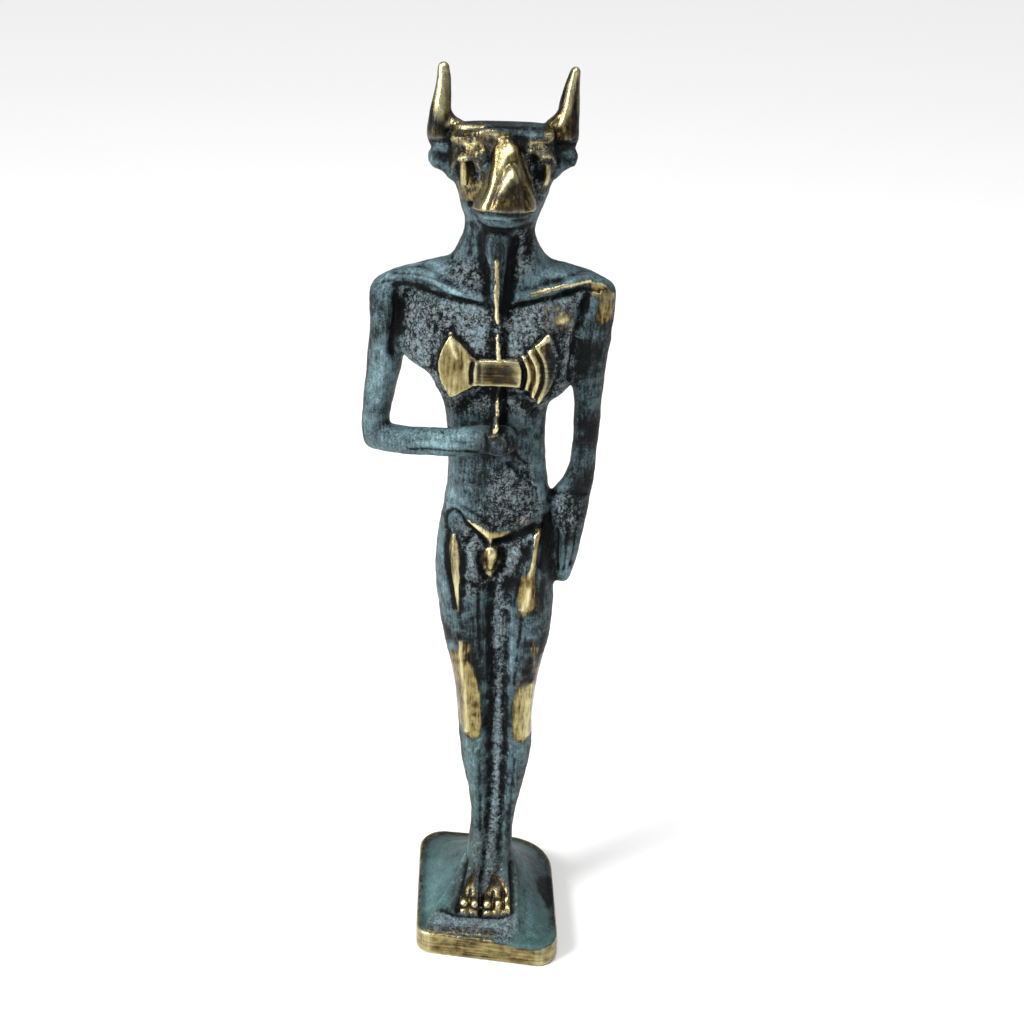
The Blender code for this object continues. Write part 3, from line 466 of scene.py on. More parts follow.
# Where the patina is rubbed through to bright bronze: the side seen, then an outline or a line
RUBBED_PATCHES = [
    ("front", [(-5.4, 3.2), (5, 3.2), (5.2, 1.8), (-5.6, 1.8)]),
    ("front", [(-0.8, 154), (1, 154.4), (2.7, 153.9), (3.4, 152), (4.5, 149.2), (5.7, 145.8), (6.2, 143.9),
               (3.4, 144.1), (1, 144.1), (-1.5, 144.2), (-4.9, 144), (-4.9, 145), (-3.6, 146.6),
               (-2.5, 148.3),
               (-1.9, 150.3), (-1.7, 152.3)]),
    ("front", [(-9.2, 157.2), (-8.8, 155.3), (-7.8, 155.2), (-2.8, 155.6), (-2.5, 157.2)]),
    ("front", [(-6.8, 151), (-5.3, 150.9), (-4.5, 147.6), (-4.9, 145.9), (-6.9, 146), (-7.1, 149.4)]),
    ("front", [(7, 150.7), (8.1, 150.2), (8.5, 147.8), (7.3, 146.5), (6.5, 148.4)]),
    ("front", [(6.6, 154.6), (9.4, 154.6), (10.4, 157.4), (8.2, 157.2), (6.9, 156.2)]),
    ("front", [(-8.1, 122), (-9.6, 119.2), (-10.4, 116.5), (-9.8, 113.2), (-8.1, 110), (-5.8, 111.2),
               (-3.6, 112.4), (4.1, 112.2), (4.6, 112.2), (5.6, 110.7), (7.3, 109), (8.6, 110.8),
               (9.4, 113.2),
               (9.7, 116.4), (9.4, 119), (8.6, 122.5), (6.6, 120.4), (5, 118.5), (4, 117.6), (-2.8, 117.5),
               (-4.3, 118.2), (-6.1, 120.1)]),
    ("front", [(15.4, 130.2), (17.7, 129.9), (19.9, 127.6), (19.8, 123.2), (17.5, 122.5), (16.6, 123.9),
               (17.2, 126.9), (15.3, 128.6)]),
    ("front", [(9.9, 125.4), (11.8, 125.2), (12.4, 123.6), (10.9, 122.8), (9.6, 123.7)]),
    ("front", [(-5.2, 86.2), (-2.6, 84.9), (-1.2, 84), (0.5, 83.5), (2.8, 83.9), (2.2, 82.6), (0.6, 81.9),
               (-0.4, 81.6), (-0.7, 80.6), (-1.3, 81.9), (-2.5, 83.2), (-3.8, 84.5)]),
    ("front", [(-0.5, 81.2), (0.7, 80.6), (1.5, 78.8), (1, 76.5), (-0.6, 73.8), (-2.1, 76.9), (-2, 79.4)]),
    ("front", [(-7.2, 83.4), (-6.4, 80.8), (-6.1, 77.6), (-6.2, 74.4), (-5.9, 67.6), (-6.5, 67.6),
               (-7.6, 73),
               (-8.3, 75.8), (-8.5, 79.6), (-7.8, 82.5)]),
    ("front", [(7.6, 84.8), (9.3, 84.5), (8.6, 82.1), (8.1, 79.6), (7.6, 77.3), (8.2, 74), (8.6, 70),
               (8.2, 68.5), (5.8, 66.7), (5, 67.3), (4.6, 70.2), (4.5, 73.6), (5.4, 75.4), (6.6, 76),
               (7.2, 79)]),
    ("front", [(-6.1, 61.4), (-3.9, 60.9), (-3.8, 56.2), (-2.4, 52.6), (-1.9, 48.4), (-1.5, 43.5),
               (-1.9, 39.6),
               (-3.4, 39), (-5.4, 40.2), (-6.8, 44.6), (-7.6, 50.4), (-8.2, 56.6), (-7.2, 59),
               (-6.4, 58.6)]),
    ("front", [(5.2, 51.6), (7, 51.9), (7.8, 53.8), (8.9, 58), (10, 57.6), (9.4, 50.9), (8.9, 46),
               (8.4, 39.4), (6.6, 38.2), (4.4, 39.4), (4.2, 43.9), (4.3, 46.9), (4.8, 50)]),
    ("plan", [(-2.6, -4.2), (-2.1, -7.4), (-1.3, -9.3), (-1.3, -11.2), (-5.5, -10.9), (-5.1, -9),
              (-4.3, -6.1)]),
    ("plan", [(0.9, -4.2), (3.3, -5.8), (4.7, -8.6), (4.8, -11.4), (-0.5, -11.3), (-0.5, -8), (0.4, -6.6)]),
    ("back", [(-9.6, 125.2), (-6.8, 126), (-7.6, 119), (-9.4, 116.8), (-10.6, 120)]),
    ("back", [(9.4, 125), (6.8, 125.8), (7.4, 119), (9.2, 116.8), (10.2, 120)]),
    ("back", [(-7.8, 81.6), (-5, 82.8), (-3.2, 79.4), (-4.2, 74.4), (-7, 73.2), (-8.6, 77)]),
    ("back", [(8.2, 81.6), (5.4, 82.8), (3.6, 79.4), (4.6, 74.4), (7.4, 73.2), (9, 77)]),
    ("back", [(-4.6, 40.4), (-3, 40), (-2.2, 33), (-3, 25), (-4.2, 27), (-5.2, 34)]),
    ("back", [(6.6, 38.4), (5, 38), (4.2, 31), (5, 23.6), (6, 25.6), (7.2, 32)]),
    ("back", [(-6.8, 152.8), (6.8, 152.8), (8.2, 156.6), (-8.2, 156.6)]),
]
RUBBED_LINES = [
    ("front", 0.38, [(-0.4, 134.3), (-0.3, 131), (-0.3, 127.7), (-0.2, 123.9)]),
    ("front", 0.30, [(5.6, 128.5), (10.3, 129.5), (15.4, 130.3)]),
    ("front", 0.38, [(-0.2, 121.5), (0.1, 119.2), (0.3, 117.5)]),
    ("front", 0.30, [(0.4, 112), (0.1, 109), (0.4, 106.3), (-0.3, 105)]),
    ("front", 0.22, [(-1, 103.9), (0.6, 104.5)]),
    ("front", 0.22, [(7.5, 60), (8, 58.4), (7.7, 56.8)]),
    ("front", 0.30, [(-7.4, 153.6), (-5.4, 153.3), (-4, 153.8), (-3, 152.8)]),
    ("front", 0.45, [(-2.4, 155.4), (-1.1, 155.4), (0.4, 154.8)]),
    ("front", 0.35, [(4.2, 153.8), (5.4, 154), (6.6, 153.7)]),
    ("front", 0.16, [(-7.8, 149.4), (-7.1, 151), (-5.6, 151.4)]),
    ("front", 0.16, [(7, 152.1), (8.4, 151.3), (9, 149.4)]),
    ("front", 0.28, [(-2.6, 112.9), (3.5, 112.8)]),
    ("front", 0.25, [(-6.4, 145.2), (-5.4, 144.9), (-4.4, 144.6)]),
    ("front", 0.25, [(-3.1, 149), (-2.9, 148)]),
    ("front", 0.30, [(-8.3, 154.4), (-7.4, 154.2)]),
    ("front", 0.30, [(-0.4, 82.2), (-0.4, 80.2)]),
    ("plan", 0.22, [(-11.6, -15), (-4.5, -15.8), (1.9, -16.5)]),
    ("back", 0.5, [(-16, 129.6), (-19.6, 128), (-21, 124)]),
    ("back", 0.5, [(14.4, 129.6), (17.6, 128.4), (19.4, 124)]),
    ("left", 0.5, [(0.2, 108), (0, 103), (-0.2, 99.6)]),
]

# Where the rubbing only caught the grains of the skin: side, how bare (above nothing mostly metal,
# below nothing mostly patina) and outline
FLECKED_PATCHES = [
    ("front", 0.08, [(-8.8, 155.2), (-2.4, 155.6), (1.6, 155.4), (0.2, 153.6), (-2.2, 152.8), (-3.4, 151.4),
                      (-8.4, 151.4), (-9.2, 153.4)]),
    ("front", 0.06, [(3.4, 154.4), (7.8, 154.2), (8.8, 151.6), (6.6, 150.8), (4, 152.4)]),
    ("front", 0.10, [(-7.4, 147.2), (-3, 147.6), (-3.4, 143.6), (-6.6, 143.8)]),
    ("front", -0.02, [(6.4, 149.4), (9, 149.4), (8.4, 145.6), (6.4, 145.6)]),
    ("front", 0.02, [(-8.8, 152.4), (-3, 152.4), (-3.2, 149.6), (-8.6, 148.6)]),
    ("front", -0.06, [(8, 126.6), (12.6, 126.2), (13.6, 122.4), (10.2, 121.4), (7.6, 123.4)]),
    ("front", 0.04, [(7, 61.8), (8.4, 61), (9.6, 57), (8.6, 53.6), (6.6, 51.4), (4.8, 51.8), (5.6, 54.6),
                     (7.2, 57)]),
    ("front", -0.16, [(-8.6, 63), (-5, 63), (-4.4, 60.6), (-8.2, 60.4)]),
    ("front", -0.16, [(3, 86.2), (9.4, 86.8), (9.8, 84.8), (6.4, 84.6), (3.6, 83.4)]),
    ("front", -0.20, [(-3, 105.2), (4, 105.2), (3.8, 101.6), (-2.4, 101.6)]),
    ("plan", -0.16, [(-6.2, -2.2), (6, -2.2), (6.6, -12), (-7, -11.6)]),
    ("plan", -0.08, [(-11.8, -13.8), (2.4, -14.8), (2, -17), (-12, -15.8)]),
]

# Ridges burnished brightest and painted near white as their highlights: side, strength, width and path, all
# in stations
BURNISHED_AND_HIGHLIGHTS = [
    ("front", 0.9, 1.6, [(-9.9, 164.8), (-10, 161), (-10.3, 157.6)]),
    ("front", 1, 0.7, [(11.7, 164.6), (11.1, 162.3), (10.5, 158.7), (9.6, 156.6), (8.2, 155.4), (7, 155)]),
    ("front", 0.8, 0.3, [(12.6, 163.8), (12.4, 160.8), (12.4, 157.8)]),
    ("front", 1, 0.9, [(-8.6, 155.7), (-5.6, 156), (-2.9, 156)]),
    ("front", 0.7, 0.8, [(-2.2, 155.4), (-1.1, 155.3), (-0.2, 154.7)]),
    ("front", 0.5, 0.5, [(-7.2, 153.7), (-5.4, 153.4), (-4.2, 153.9)]),
    ("front", 0.5, 0.6, [(4.3, 153.7), (5.4, 154), (6.5, 153.7)]),
    ("front", 0.6, 0.4, [(-7.6, 149.8), (-6.8, 151.1), (-5.2, 151.2)]),
    ("front", 0.2, 1, [(-6, 150), (-5.8, 147)]),
    ("front", 0.6, 0.4, [(6, 150.6), (6.9, 151.7), (8.3, 151.1), (8.9, 149.4)]),
    ("front", 0.3, 0.6, [(7.8, 149.4), (7.5, 147.4)]),
    ("front", 1, 0.8, [(1.4, 153.4), (0.6, 152.9), (0.2, 151.4), (0.1, 150.4)]),
    ("front", 1, 1, [(1, 149), (1.4, 150), (2.3, 150.1), (2.9, 149.3)]),
    ("front", 0.7, 0.5, [(0.9, 148.8), (0.4, 147.4)]),
    ("front", 0.5, 0.7, [(3.2, 152), (4.8, 148.6), (5.8, 145.4)]),
    ("front", 0.4, 1.4, [(-0.8, 149), (-2, 146.4), (-3, 144.8)]),
    ("front", 0.6, 0.4, [(-1.7, 150.4), (-2.4, 148.2), (-3.4, 146.4), (-4.5, 145.3)]),
    ("front", 0.9, 0.5, [(-0.5, 134.2), (-0.4, 131), (-0.4, 127.7), (-0.2, 124.2)]),
    ("front", 0.9, 0.5, [(7.6, 129), (12, 130), (16, 130.5), (18.6, 129.4), (19.6, 127.6)]),
    ("front", 0.9, 0.6, [(10.6, 125.2), (10.5, 124.2), (11.6, 123.6)]),
    ("front", 1, 0.7, [(-8, 121.8), (-7.7, 120), (-7.2, 118.2)]),
    ("front", 0.8, 0.4, [(-7.8, 121.4), (-6.6, 120.4), (-5.2, 118.9)]),
    ("front", 0.6, 0.3, [(-8.3, 111.2), (-7.8, 112.9), (-6.4, 113.5)]),
    ("front", 0.9, 0.35, [(-3.6, 117), (-3.8, 115), (-3.8, 112.9)]),
    ("front", 0.6, 0.3, [(-4.9, 117.4), (-5.2, 115.2), (-4.9, 113)]),
    ("front", 1, 0.5, [(-2.6, 117.3), (0.4, 117.5), (3.6, 117.5), (5.4, 118.7), (7, 120.4), (9, 121.4)]),
    ("front", 0.8, 0.35, [(-4, 112.9), (0, 112.7), (4, 112.6)]),
    ("front", 0.8, 0.35, [(4.6, 118), (5.4, 115.6), (5.4, 113.4), (4.8, 111.3)]),
    ("front", 0.8, 0.35, [(5.4, 118.8), (6.7, 116.3), (7, 113.4), (6, 110)]),
    ("front", 0.7, 0.3, [(6.8, 120), (8.2, 117), (8.5, 113.2), (7.2, 109.4)]),
    ("front", 1, 0.5, [(-0.2, 121.3), (0.1, 119.2), (0.2, 117.4)]),
    ("front", 0.9, 0.4, [(0.4, 111.9), (0.1, 109), (0.4, 106.3), (-0.2, 105)]),
    ("front", 0.9, 0.9, [(-5, 86), (-2.8, 84.5), (-1.4, 82.9), (-0.9, 81.2)]),
    ("front", 1, 1.2, [(-0.1, 80), (0.1, 79.4)]),
    ("front", 0.8, 0.6, [(-1.2, 76.4), (-0.8, 74.8)]),
    ("front", 0.8, 0.4, [(-7, 83), (-6.5, 78), (-6.4, 74), (-6.2, 69)]),
    ("front", 0.9, 0.5, [(7.5, 84.2), (7.1, 80.4), (7.1, 78.2), (6.7, 75.8)]),
    ("front", 0.9, 0.6, [(6.7, 72.6), (6.5, 70.4), (5.7, 68.2)]),
    ("front", 0.7, 0.35, [(-5.8, 60.2), (-5.5, 55.1), (-4.9, 51), (-4.5, 44.7), (-4.3, 42)]),
    ("front", 0.4, 1.6, [(6.8, 51), (7.2, 46), (6.8, 41)]),
    ("plan", 0.6, 0.8, [(-4.5, -10), (-4.2, -11.6)]),
    ("plan", 0.7, 0.8, [(-2.4, -10.3), (-2.1, -11.8)]),
    ("plan", 0.7, 0.8, [(0.2, -10.4), (0.5, -12)]),
    ("plan", 0.4, 0.7, [(2.4, -10.2), (2.7, -11.6)]),
    ("plan", 0.3, 0.8, [(4.1, -9.6), (4.2, -10.6)]),
    ("plan", 0.8, 0.3, [(-11.8, -15.2), (-4.5, -15.9), (1.9, -16.6)]),
]

# Lines of painted shade and painted light: side, how much darker (below nothing: paler), width and path.
# The dark ones are mostly painted shade in grooves, creases, sockets and under overhangs, the pale ones
# mostly painted highlights on lit ridges and slopes; a few also darken or lighten the patina's own tone
TONES = [
    ("front", 0.4, 0.5, [(-1.5, 145), (-0.4, 148), (0.7, 150.2), (1.7, 151.7)]),
    ("front", 0.6, 0.7, [(2.1, 151.6), (3.4, 149.4), (4.2, 146.8), (4.7, 144.8)]),
    ("front", 0.45, 1.6, [(-0.2, 144.8), (1.6, 144.7), (3.6, 144.8)]),
    ("front", 0.8, 1, [(-7.3, 150.4), (-7.3, 147.8)]),
    ("front", 0.8, 0.9, [(-5, 150.6), (-4.3, 148.2)]),
    ("front", 0.8, 1.4, [(5, 151.8), (5.9, 149.8), (6.2, 148.2)]),
    ("front", 0.8, 0.8, [(8.4, 150.8), (8.5, 147.6)]),
    ("front", 0.8, 1.2, [(3.3, 152.6), (3.8, 154), (2.8, 155)]),
    ("front", 0.8, 1.4, [(9.2, 153.4), (10.8, 152.9), (12.2, 152.9)]),
    ("front", 0.8, 1.2, [(-9, 153.6), (-8.6, 151.4), (-9.6, 149.8)]),
    ("front", 0.75, 1.8, [(-11.6, 158.4), (-11.2, 156), (-10.8, 154.2)]),
    ("front", 0.65, 1.8, [(13, 161), (12.6, 157), (11.6, 154.2)]),
    ("front", 0.50, 1.6, [(-9, 156.4), (-9.4, 154.4)]),
    ("front", 0.8, 1, [(9.2, 152.2), (9, 149.4)]),
    ("front", 0.95, 0.9, [(-5, 143.5), (-1.5, 143.5), (1, 143.4), (5.4, 143.4)]),
    ("front", 0.8, 1.6, [(-4.4, 139.6), (0.4, 139.3), (4.6, 139.8)]),
    ("front", 0.8, 2.4, [(3.4, 142), (4.8, 139), (4.6, 135)]),
    ("front", 0.8, 2, [(-2.6, 140.4), (-3.4, 136.6)]),
    ("front", 0.55, 1.8, [(1.4, 134), (1.2, 129), (1, 125), (0.4, 123.2)]),
    ("front", 0.45, 1.6, [(2.8, 138), (2.3, 133), (2.2, 129)]),
    ("front", 0.55, 1, [(-17.8, 128.6), (-15.3, 128.9), (-10.6, 127.6), (-5.3, 126.8), (-2, 126.2)]),
    ("front", 0.60, 1.2, [(17, 128.4), (14, 128.7), (10, 127.5), (5, 126.7), (2.2, 126)]),
    ("front", 0.6, 0.5, [(-18, 130.6), (-12.9, 130.7), (-8.6, 129.7), (-5.3, 128.3)]),
    ("front", 0.45, 1.6, [(-17.6, 127.6), (-17.3, 125), (-17.7, 121.6), (-18.4, 117), (-17.8, 115)]),
    ("front", 0.45, 1.8, [(15, 127.6), (14.3, 124.6), (13.5, 120.6), (12.7, 116), (12.9, 112)]),
    ("front", 0.8, 1, [(-10.6, 122.6), (-11.2, 118.6), (-11.4, 115)]),
    ("front", 0.8, 0.7, [(-4.15, 116.9), (-4.45, 115.1), (-4.3, 113.2)]),
    ("front", 0.8, 0.7, [(4, 117.5), (4.75, 115.6), (4.7, 113.4), (4.1, 111.9)]),
    ("front", 0.8, 0.6, [(5.1, 118.3), (6.05, 116.2), (6.2, 113.5), (5.3, 110.8)]),
    ("front", 0.8, 0.6, [(6.1, 119.5), (7.55, 117), (7.8, 113.5), (6.5, 109.7)]),
    ("front", 0.8, 1.4, [(9.8, 120.8), (10.3, 117.6), (10, 113.4), (8.6, 110)]),
    ("front", 0.8, 0.8, [(-8, 122.7), (-6, 120.6), (-4.3, 118.8), (-2.8, 118), (-1, 118.2)]),
    ("front", 0.8, 0.9, [(-1.1, 121.8), (-1, 118.6)]),
    ("front", 0.8, 0.9, [(1.3, 121.8), (1.3, 118.6)]),
    ("front", 0.6, 2.6, [(-6, 107.6), (-4.2, 109.4), (-2, 110.4), (0.2, 110.8), (3.2, 110), (5.6, 108.4)]),
    ("front", 0.8, 1.4, [(1.5, 111), (1.5, 108.6), (1.4, 105.2)]),
    ("front", 0.8, 0.4, [(-15, 99.9), (-11.5, 100.6), (-7.2, 100.9), (-3, 100.9)]),
    ("front", 0.6, 0.8, [(2, 103.8), (2.3, 102.4), (2, 101)]),
    ("front", 0.8, 1.2, [(3.2, 99.8), (2.8, 97.4), (4.6, 94.8), (3, 92.4)]),
    ("front", 0.8, 0.6, [(-8.9, 83.4), (-8.8, 85.8), (-7.4, 87.7), (-6, 87.2), (-5, 85.6), (-2.6, 83),
                         (-1.1, 80.7)]),
    ("front", 0.8, 1.5, [(-0.1, 81), (1.8, 81.2), (3.6, 82.6), (6.4, 84.2), (9.1, 85)]),
    ("front", 0.8, 0.8, [(-2.3, 79.8), (-2.4, 77), (-1.4, 73.8)]),
    ("front", 0.8, 0.9, [(1.7, 79.8), (1.8, 77), (0.9, 74)]),
    ("front", 0.8, 0.9, [(-8.3, 83.3), (-8.8, 80.2), (-8.4, 76.4), (-7.7, 72.4), (-6.9, 68.2)]),
    ("front", 0.8, 0.6, [(-6, 81.4), (-5.7, 77), (-5.8, 72), (-5.5, 67.6)]),
    ("front", 0.8, 1.4, [(9.6, 84.4), (9.4, 80.6), (9, 76), (9.4, 71), (8.8, 67)]),
    ("front", 0.45, 1.2, [(6.6, 82), (5.4, 78.6), (4, 75.4), (3.8, 70), (4.6, 66.6)]),
    ("front", 0.4, 2.6, [(-2.4, 68), (-2, 60), (-1.4, 54), (-0.6, 46), (-0.6, 36), (-0.8, 26)]),
    ("front", 0.8, 1.6, [(-4.4, 62), (-3.2, 57), (-1.9, 52.6)]),
    ("front", 0.8, 1.4, [(-8.6, 63), (-7.2, 61), (-5.4, 62.4)]),
    ("front", 0.55, 3.4, [(6.8, 60.4), (7.2, 57), (5.8, 52.6)]),
    ("front", 0.8, 1.6, [(9.6, 62), (9.4, 58)]),
    ("front", 0.3, 1.8, [(3.6, 54), (3.4, 48), (3.4, 40), (3.4, 30)]),
    ("front", 0.35, 1.4, [(0.1, 74), (-0.2, 69), (-0.3, 61), (0.2, 56)]),
    ("front", 0.7, 3, [(-2, 72.6), (1.6, 72.4), (4, 73.4)]),
    ("front", 0.8, 1.2, [(4.2, 22), (4.2, 14), (4.6, 9)]),
    ("back", 0.5, 1.8, [(0, 131), (0, 120), (0.1, 108), (0.2, 96), (0.2, 90)]),
    ("back", 0.5, 1.6, [(0.2, 84), (0.2, 78), (0.3, 68), (0.5, 52), (0.9, 34), (0.8, 16)]),
    ("back", 0.5, 1.6, [(-14.4, 127), (-14.6, 122), (-15.4, 117.6)]),
    ("back", 0.5, 1.6, [(13, 126.6), (12.8, 121), (12.6, 115)]),
    ("back", 0.5, 1.2, [(-7, 134), (0, 132.6), (7, 134)]),
    ("plan", 0.8, 0.6, [(-1, -11.2), (-1, -8.2)]),
    ("plan", -1, 1.6, [(0.7, -3), (-0.4, -5.4), (-0.9, -7.4)]),
    ("plan", 0.5, 0.35, [(-3.4, -11), (-3.2, -8.4)]),
    ("plan", 0.5, 0.35, [(1.4, -11.2), (1.4, -8.4)]),
    ("plan", 0.5, 0.30, [(3.5, -10.8), (3.4, -8.4)]),
    ("plan", 0.8, 0.9, [(-8.9, -10.4), (-6, -11.3), (-1, -11.7), (4.8, -11.8)]),
    ("plan", 0.8, 0.8, [(-5.8, -10.4), (-5.2, -7.6), (-4.6, -4.8), (-4.4, -2.6)]),
    ("plan", 0.8, 0.9, [(5.2, -11.6), (5.3, -8.4), (4.9, -5.6), (4.9, -3)]),
    ("plan", 0.8, 0.5, [(13.5, -6.2), (13.7, -9), (13.8, -12.3)]),
    # Broad painted shade and broad painted light, partly also the patina's own darker and paler stretches
    ("front", 0.55, 3, [(-0.2, 137), (0.2, 130)]),
    ("front", 0.35, 5, [(6.6, 49), (6.6, 41)]),
    ("front", 0.30, 3, [(-5.8, 118.4), (-5.4, 115.6), (-5.6, 112.8)]),
    ("front", 0.75, 6.5, [(18.4, 124), (16.4, 116), (16.2, 106), (16, 96), (14, 84)]),
    ("front", 0.30, 2.4, [(-5.6, 48.6), (-3.2, 47.8)]),
    ("front", 0.28, 4.5, [(-4.2, 74), (-3.6, 68), (-3.2, 62), (-2.6, 50)]),
    ("front", 0.58, 9, [(0.5, 99), (0.5, 90)]),
    ("front", 0.35, 2.4, [(-3.2, 141.6), (4, 141.6)]),
    ("front", 0.60, 3, [(9, 120.2), (9.6, 116.5), (8.6, 111.5)]),
    ("front", 0.35, 5, [(-2.4, 115), (3.4, 115)]),
    ("front", 0.25, 2.4, [(-19, 124), (-19.4, 114), (-20.6, 104)]),
    ("front", 0.38, 8, [(13.6, 92), (13.2, 78)]),
    ("front", 0.32, 5, [(-6.6, 101), (-7, 92)]),
    ("front", 0.28, 8, [(0.4, 139), (0.2, 132)]),
    ("front", 0.30, 5, [(3, 104.5), (4.5, 100), (6, 94)]),
    ("front", 0.30, 6, [(6, 118), (9.5, 112)]),
    ("front", 0.15, 3, [(-2.6, 36), (-2.2, 14)]),
    ("front", 0.30, 3, [(9.6, 66), (9, 58)]),
    ("front", 0.10, 3, [(3.4, 36), (3.4, 14)]),
    ("top", 0.75, 9, [(-5, -2.6), (5.4, -2.6)]),
    ("front", -1, 4.4, [(-19, 129.2), (-13.4, 130.5), (-8.6, 129.2), (-4, 127.8)]),
    ("front", -0.8, 2.6, [(-15.8, 126), (-15.4, 122.6)]),
    ("front", -0.5, 4, [(-13, 122.6), (-12.4, 119.6)]),
    ("front", -0.7, 2.4, [(-6.6, 122.6), (-4.6, 120.6)]),
    ("front", -0.9, 2.2, [(8.4, 126), (9.4, 123)]),
    ("front", -0.8, 2.2, [(-4.2, 79.5), (-3.6, 76.8)]),
    ("front", -0.7, 2.2, [(3.4, 68), (3.9, 60), (3.2, 54)]),
    ("front", -0.6, 1.6, [(12, 131), (8, 131), (5, 130)]),
    ("front", -1, 1.2, [(-3.4, 120.6), (-2.6, 119.6)]),
    ("front", -1, 1.2, [(2.6, 119.6), (3.6, 119.8)]),
    ("front", -0.6, 2.4, [(-14, 101.6), (-9, 103), (-5, 103.6)]),
    ("front", -1, 1.2, [(2.8, 105.4), (3.6, 104.6)]),
    ("front", -1, 1.8, [(-20.2, 117), (-21.4, 107)]),
    ("front", -1, 2, [(-8.2, 97), (-7.6, 90), (-4.6, 88.6)]),
    ("front", -1, 1.6, [(7.6, 92), (8.6, 89)]),
    ("front", -1, 1.4, [(-9.6, 84), (-10.4, 76), (-10, 68)]),
    ("front", -1, 2.4, [(3.5, 79.4), (3.2, 77)]),
    ("front", -1, 0.9, [(1, 80.9), (1.4, 80.7)]),
    ("front", -1, 1.2, [(1.2, 74), (1, 66), (0.9, 59)]),
    ("front", -1, 1, [(3.2, 62.2), (3.9, 58.5), (3.1, 55.3)]),
    ("front", -1, 1, [(1.4, 50), (1.6, 40), (1.5, 28), (1.2, 18), (0.2, 9)]),
    ("front", -1, 0.9, [(-3.1, 142.3), (-0.7, 142.4), (1.5, 142.2)]),
    ("front", -1, 0.8, [(-3.2, 151.2), (-3, 149.2)]),
    ("front", -1, 0.9, [(2.6, 155), (5, 155.2)]),
    ("front", -1, 0.8, [(-10.2, 151.8), (-9.4, 151.4)]),
    ("front", -1, 0.8, [(10.4, 151.2), (11.2, 151)]),
    ("front", -1, 1.2, [(-3.8, 128.9), (-2.6, 129.6)]),
    ("plan", -1, 4.2, [(-11, -8), (-10.6, 4)]),
    ("plan", -1, 3, [(-9, -12.8), (3.6, -13.6)]),
    ("front", -1, 1.2, [(0.6, 16), (0.2, 10), (-0.4, 6)]),
]

# The black chip at the plinth's edge
DARK_PATCHES = [
    ("plan", [(10.3, -1), (10.8, 1), (11.9, 1.4), (12.7, 2.8), (15.8, 2.8), (15.8, -7.3), (12.2, -7.3),
              (12.1, -5.8), (11.1, -4.5), (10.5, -3.7)]),
]

# Where the skin is left rough from the mould
ROUGH_PATCHES = [
    ("front", [(-17.2, 128.4), (-10.6, 127.4), (-3, 126.4), (3, 126.4), (10, 127.4), (14.2, 128.2),
               (13.6, 112.6),
               (8.6, 106.6), (-8.6, 106.6), (-16.2, 114.6)]),
    ("front", [(-7.4, 133.4), (-1.6, 133.4), (-1.6, 128.6), (-4.6, 128.6), (-9, 130.6)]),
    ("front", [(2.4, 139.6), (5.6, 139.6), (5.4, 132), (2.4, 130)]),
    ("front", [(-8.4, 154.4), (8.6, 154.4), (8.4, 145.2), (-7.4, 145.2)]),
    ("front", [(-0.6, 96), (6, 97), (8.8, 88), (7.6, 85.4), (0, 83.4), (-3, 86), (-1.6, 90)]),
    ("front", [(-6.4, 85), (-4.4, 84.6), (-1.4, 81.6), (7, 84), (5.6, 77), (1.6, 72), (-4.6, 71),
               (-6, 78)]),
    ("front", [(-0.2, 76), (3, 76), (2.9, 50), (2.9, 20), (1.8, 9), (-1.2, 6), (-0.6, 16), (0.5, 36),
               (0, 56)]),
    ("front", [(10.8, 89.6), (13, 91.4), (15.8, 89.8), (16, 84.8), (13.4, 82.8), (10.6, 85.2)]),
    ("plan", [(-2.2, -3.2), (2, -2.8), (1.6, -4.8), (0.2, -7.2), (-1.6, -8), (-2, -5.2)]),
    ("plan", [(-9.6, -10.6), (5.2, -12), (6.4, -13.4), (5, -17.4), (-11.8, -15.6)]),
]

# Browned bronze, where the rubbing stopped short
BROWN_PATCHES = [
    ("front", [(-0.3, 148.6), (1.2, 149.4), (2.2, 149.2), (3.6, 148.6), (4.6, 144), (1.5, 143.4),
               (-1.4, 144.3)]),
    ("front", [(7.6, 121.4), (8.6, 122.4), (10.6, 117.6), (9.2, 111.9), (7.2, 109.3), (7.7, 113.4),
               (7.7, 117.4)]),
    ("front", [(-4.4, 117.3), (4.4, 117.4), (4.6, 112.4), (-4.4, 112.6)]),
    ("front", [(6.4, 60), (9.2, 58), (9, 53.6), (6.6, 51), (4.2, 50.8)]),
    ("front", [(-8.2, 83), (-7.4, 80), (-7.1, 76), (-7.4, 72), (-8.4, 76)]),
    ("front", [(7.2, 74), (8.6, 74.8), (8.8, 69), (8, 67.8), (7.4, 70)]),
    ("front", [(-12.6, 159), (-10.6, 158), (-9.4, 157), (-8, 157), (-8, 151.6), (-12.8, 151.6)]),
    ("front", [(-9.2, 165), (-8.2, 165), (-8, 156), (-8.9, 156)]),
    ("front", [(12, 164.6), (12.8, 165), (13.4, 152), (9.8, 153), (10.6, 156.4), (11.3, 160.2)]),
    ("front", [(10.2, 164.8), (11.2, 164.4), (10.5, 161.8), (9.8, 158.6), (8.6, 156.6), (7.4, 158)]),
    ("plan", [(-5.6, -9), (-4.2, -5.4), (-2.6, -3.8), (0.8, -3.6), (3.6, -5.2), (5.2, -8.6), (0, -9.4)]),
]

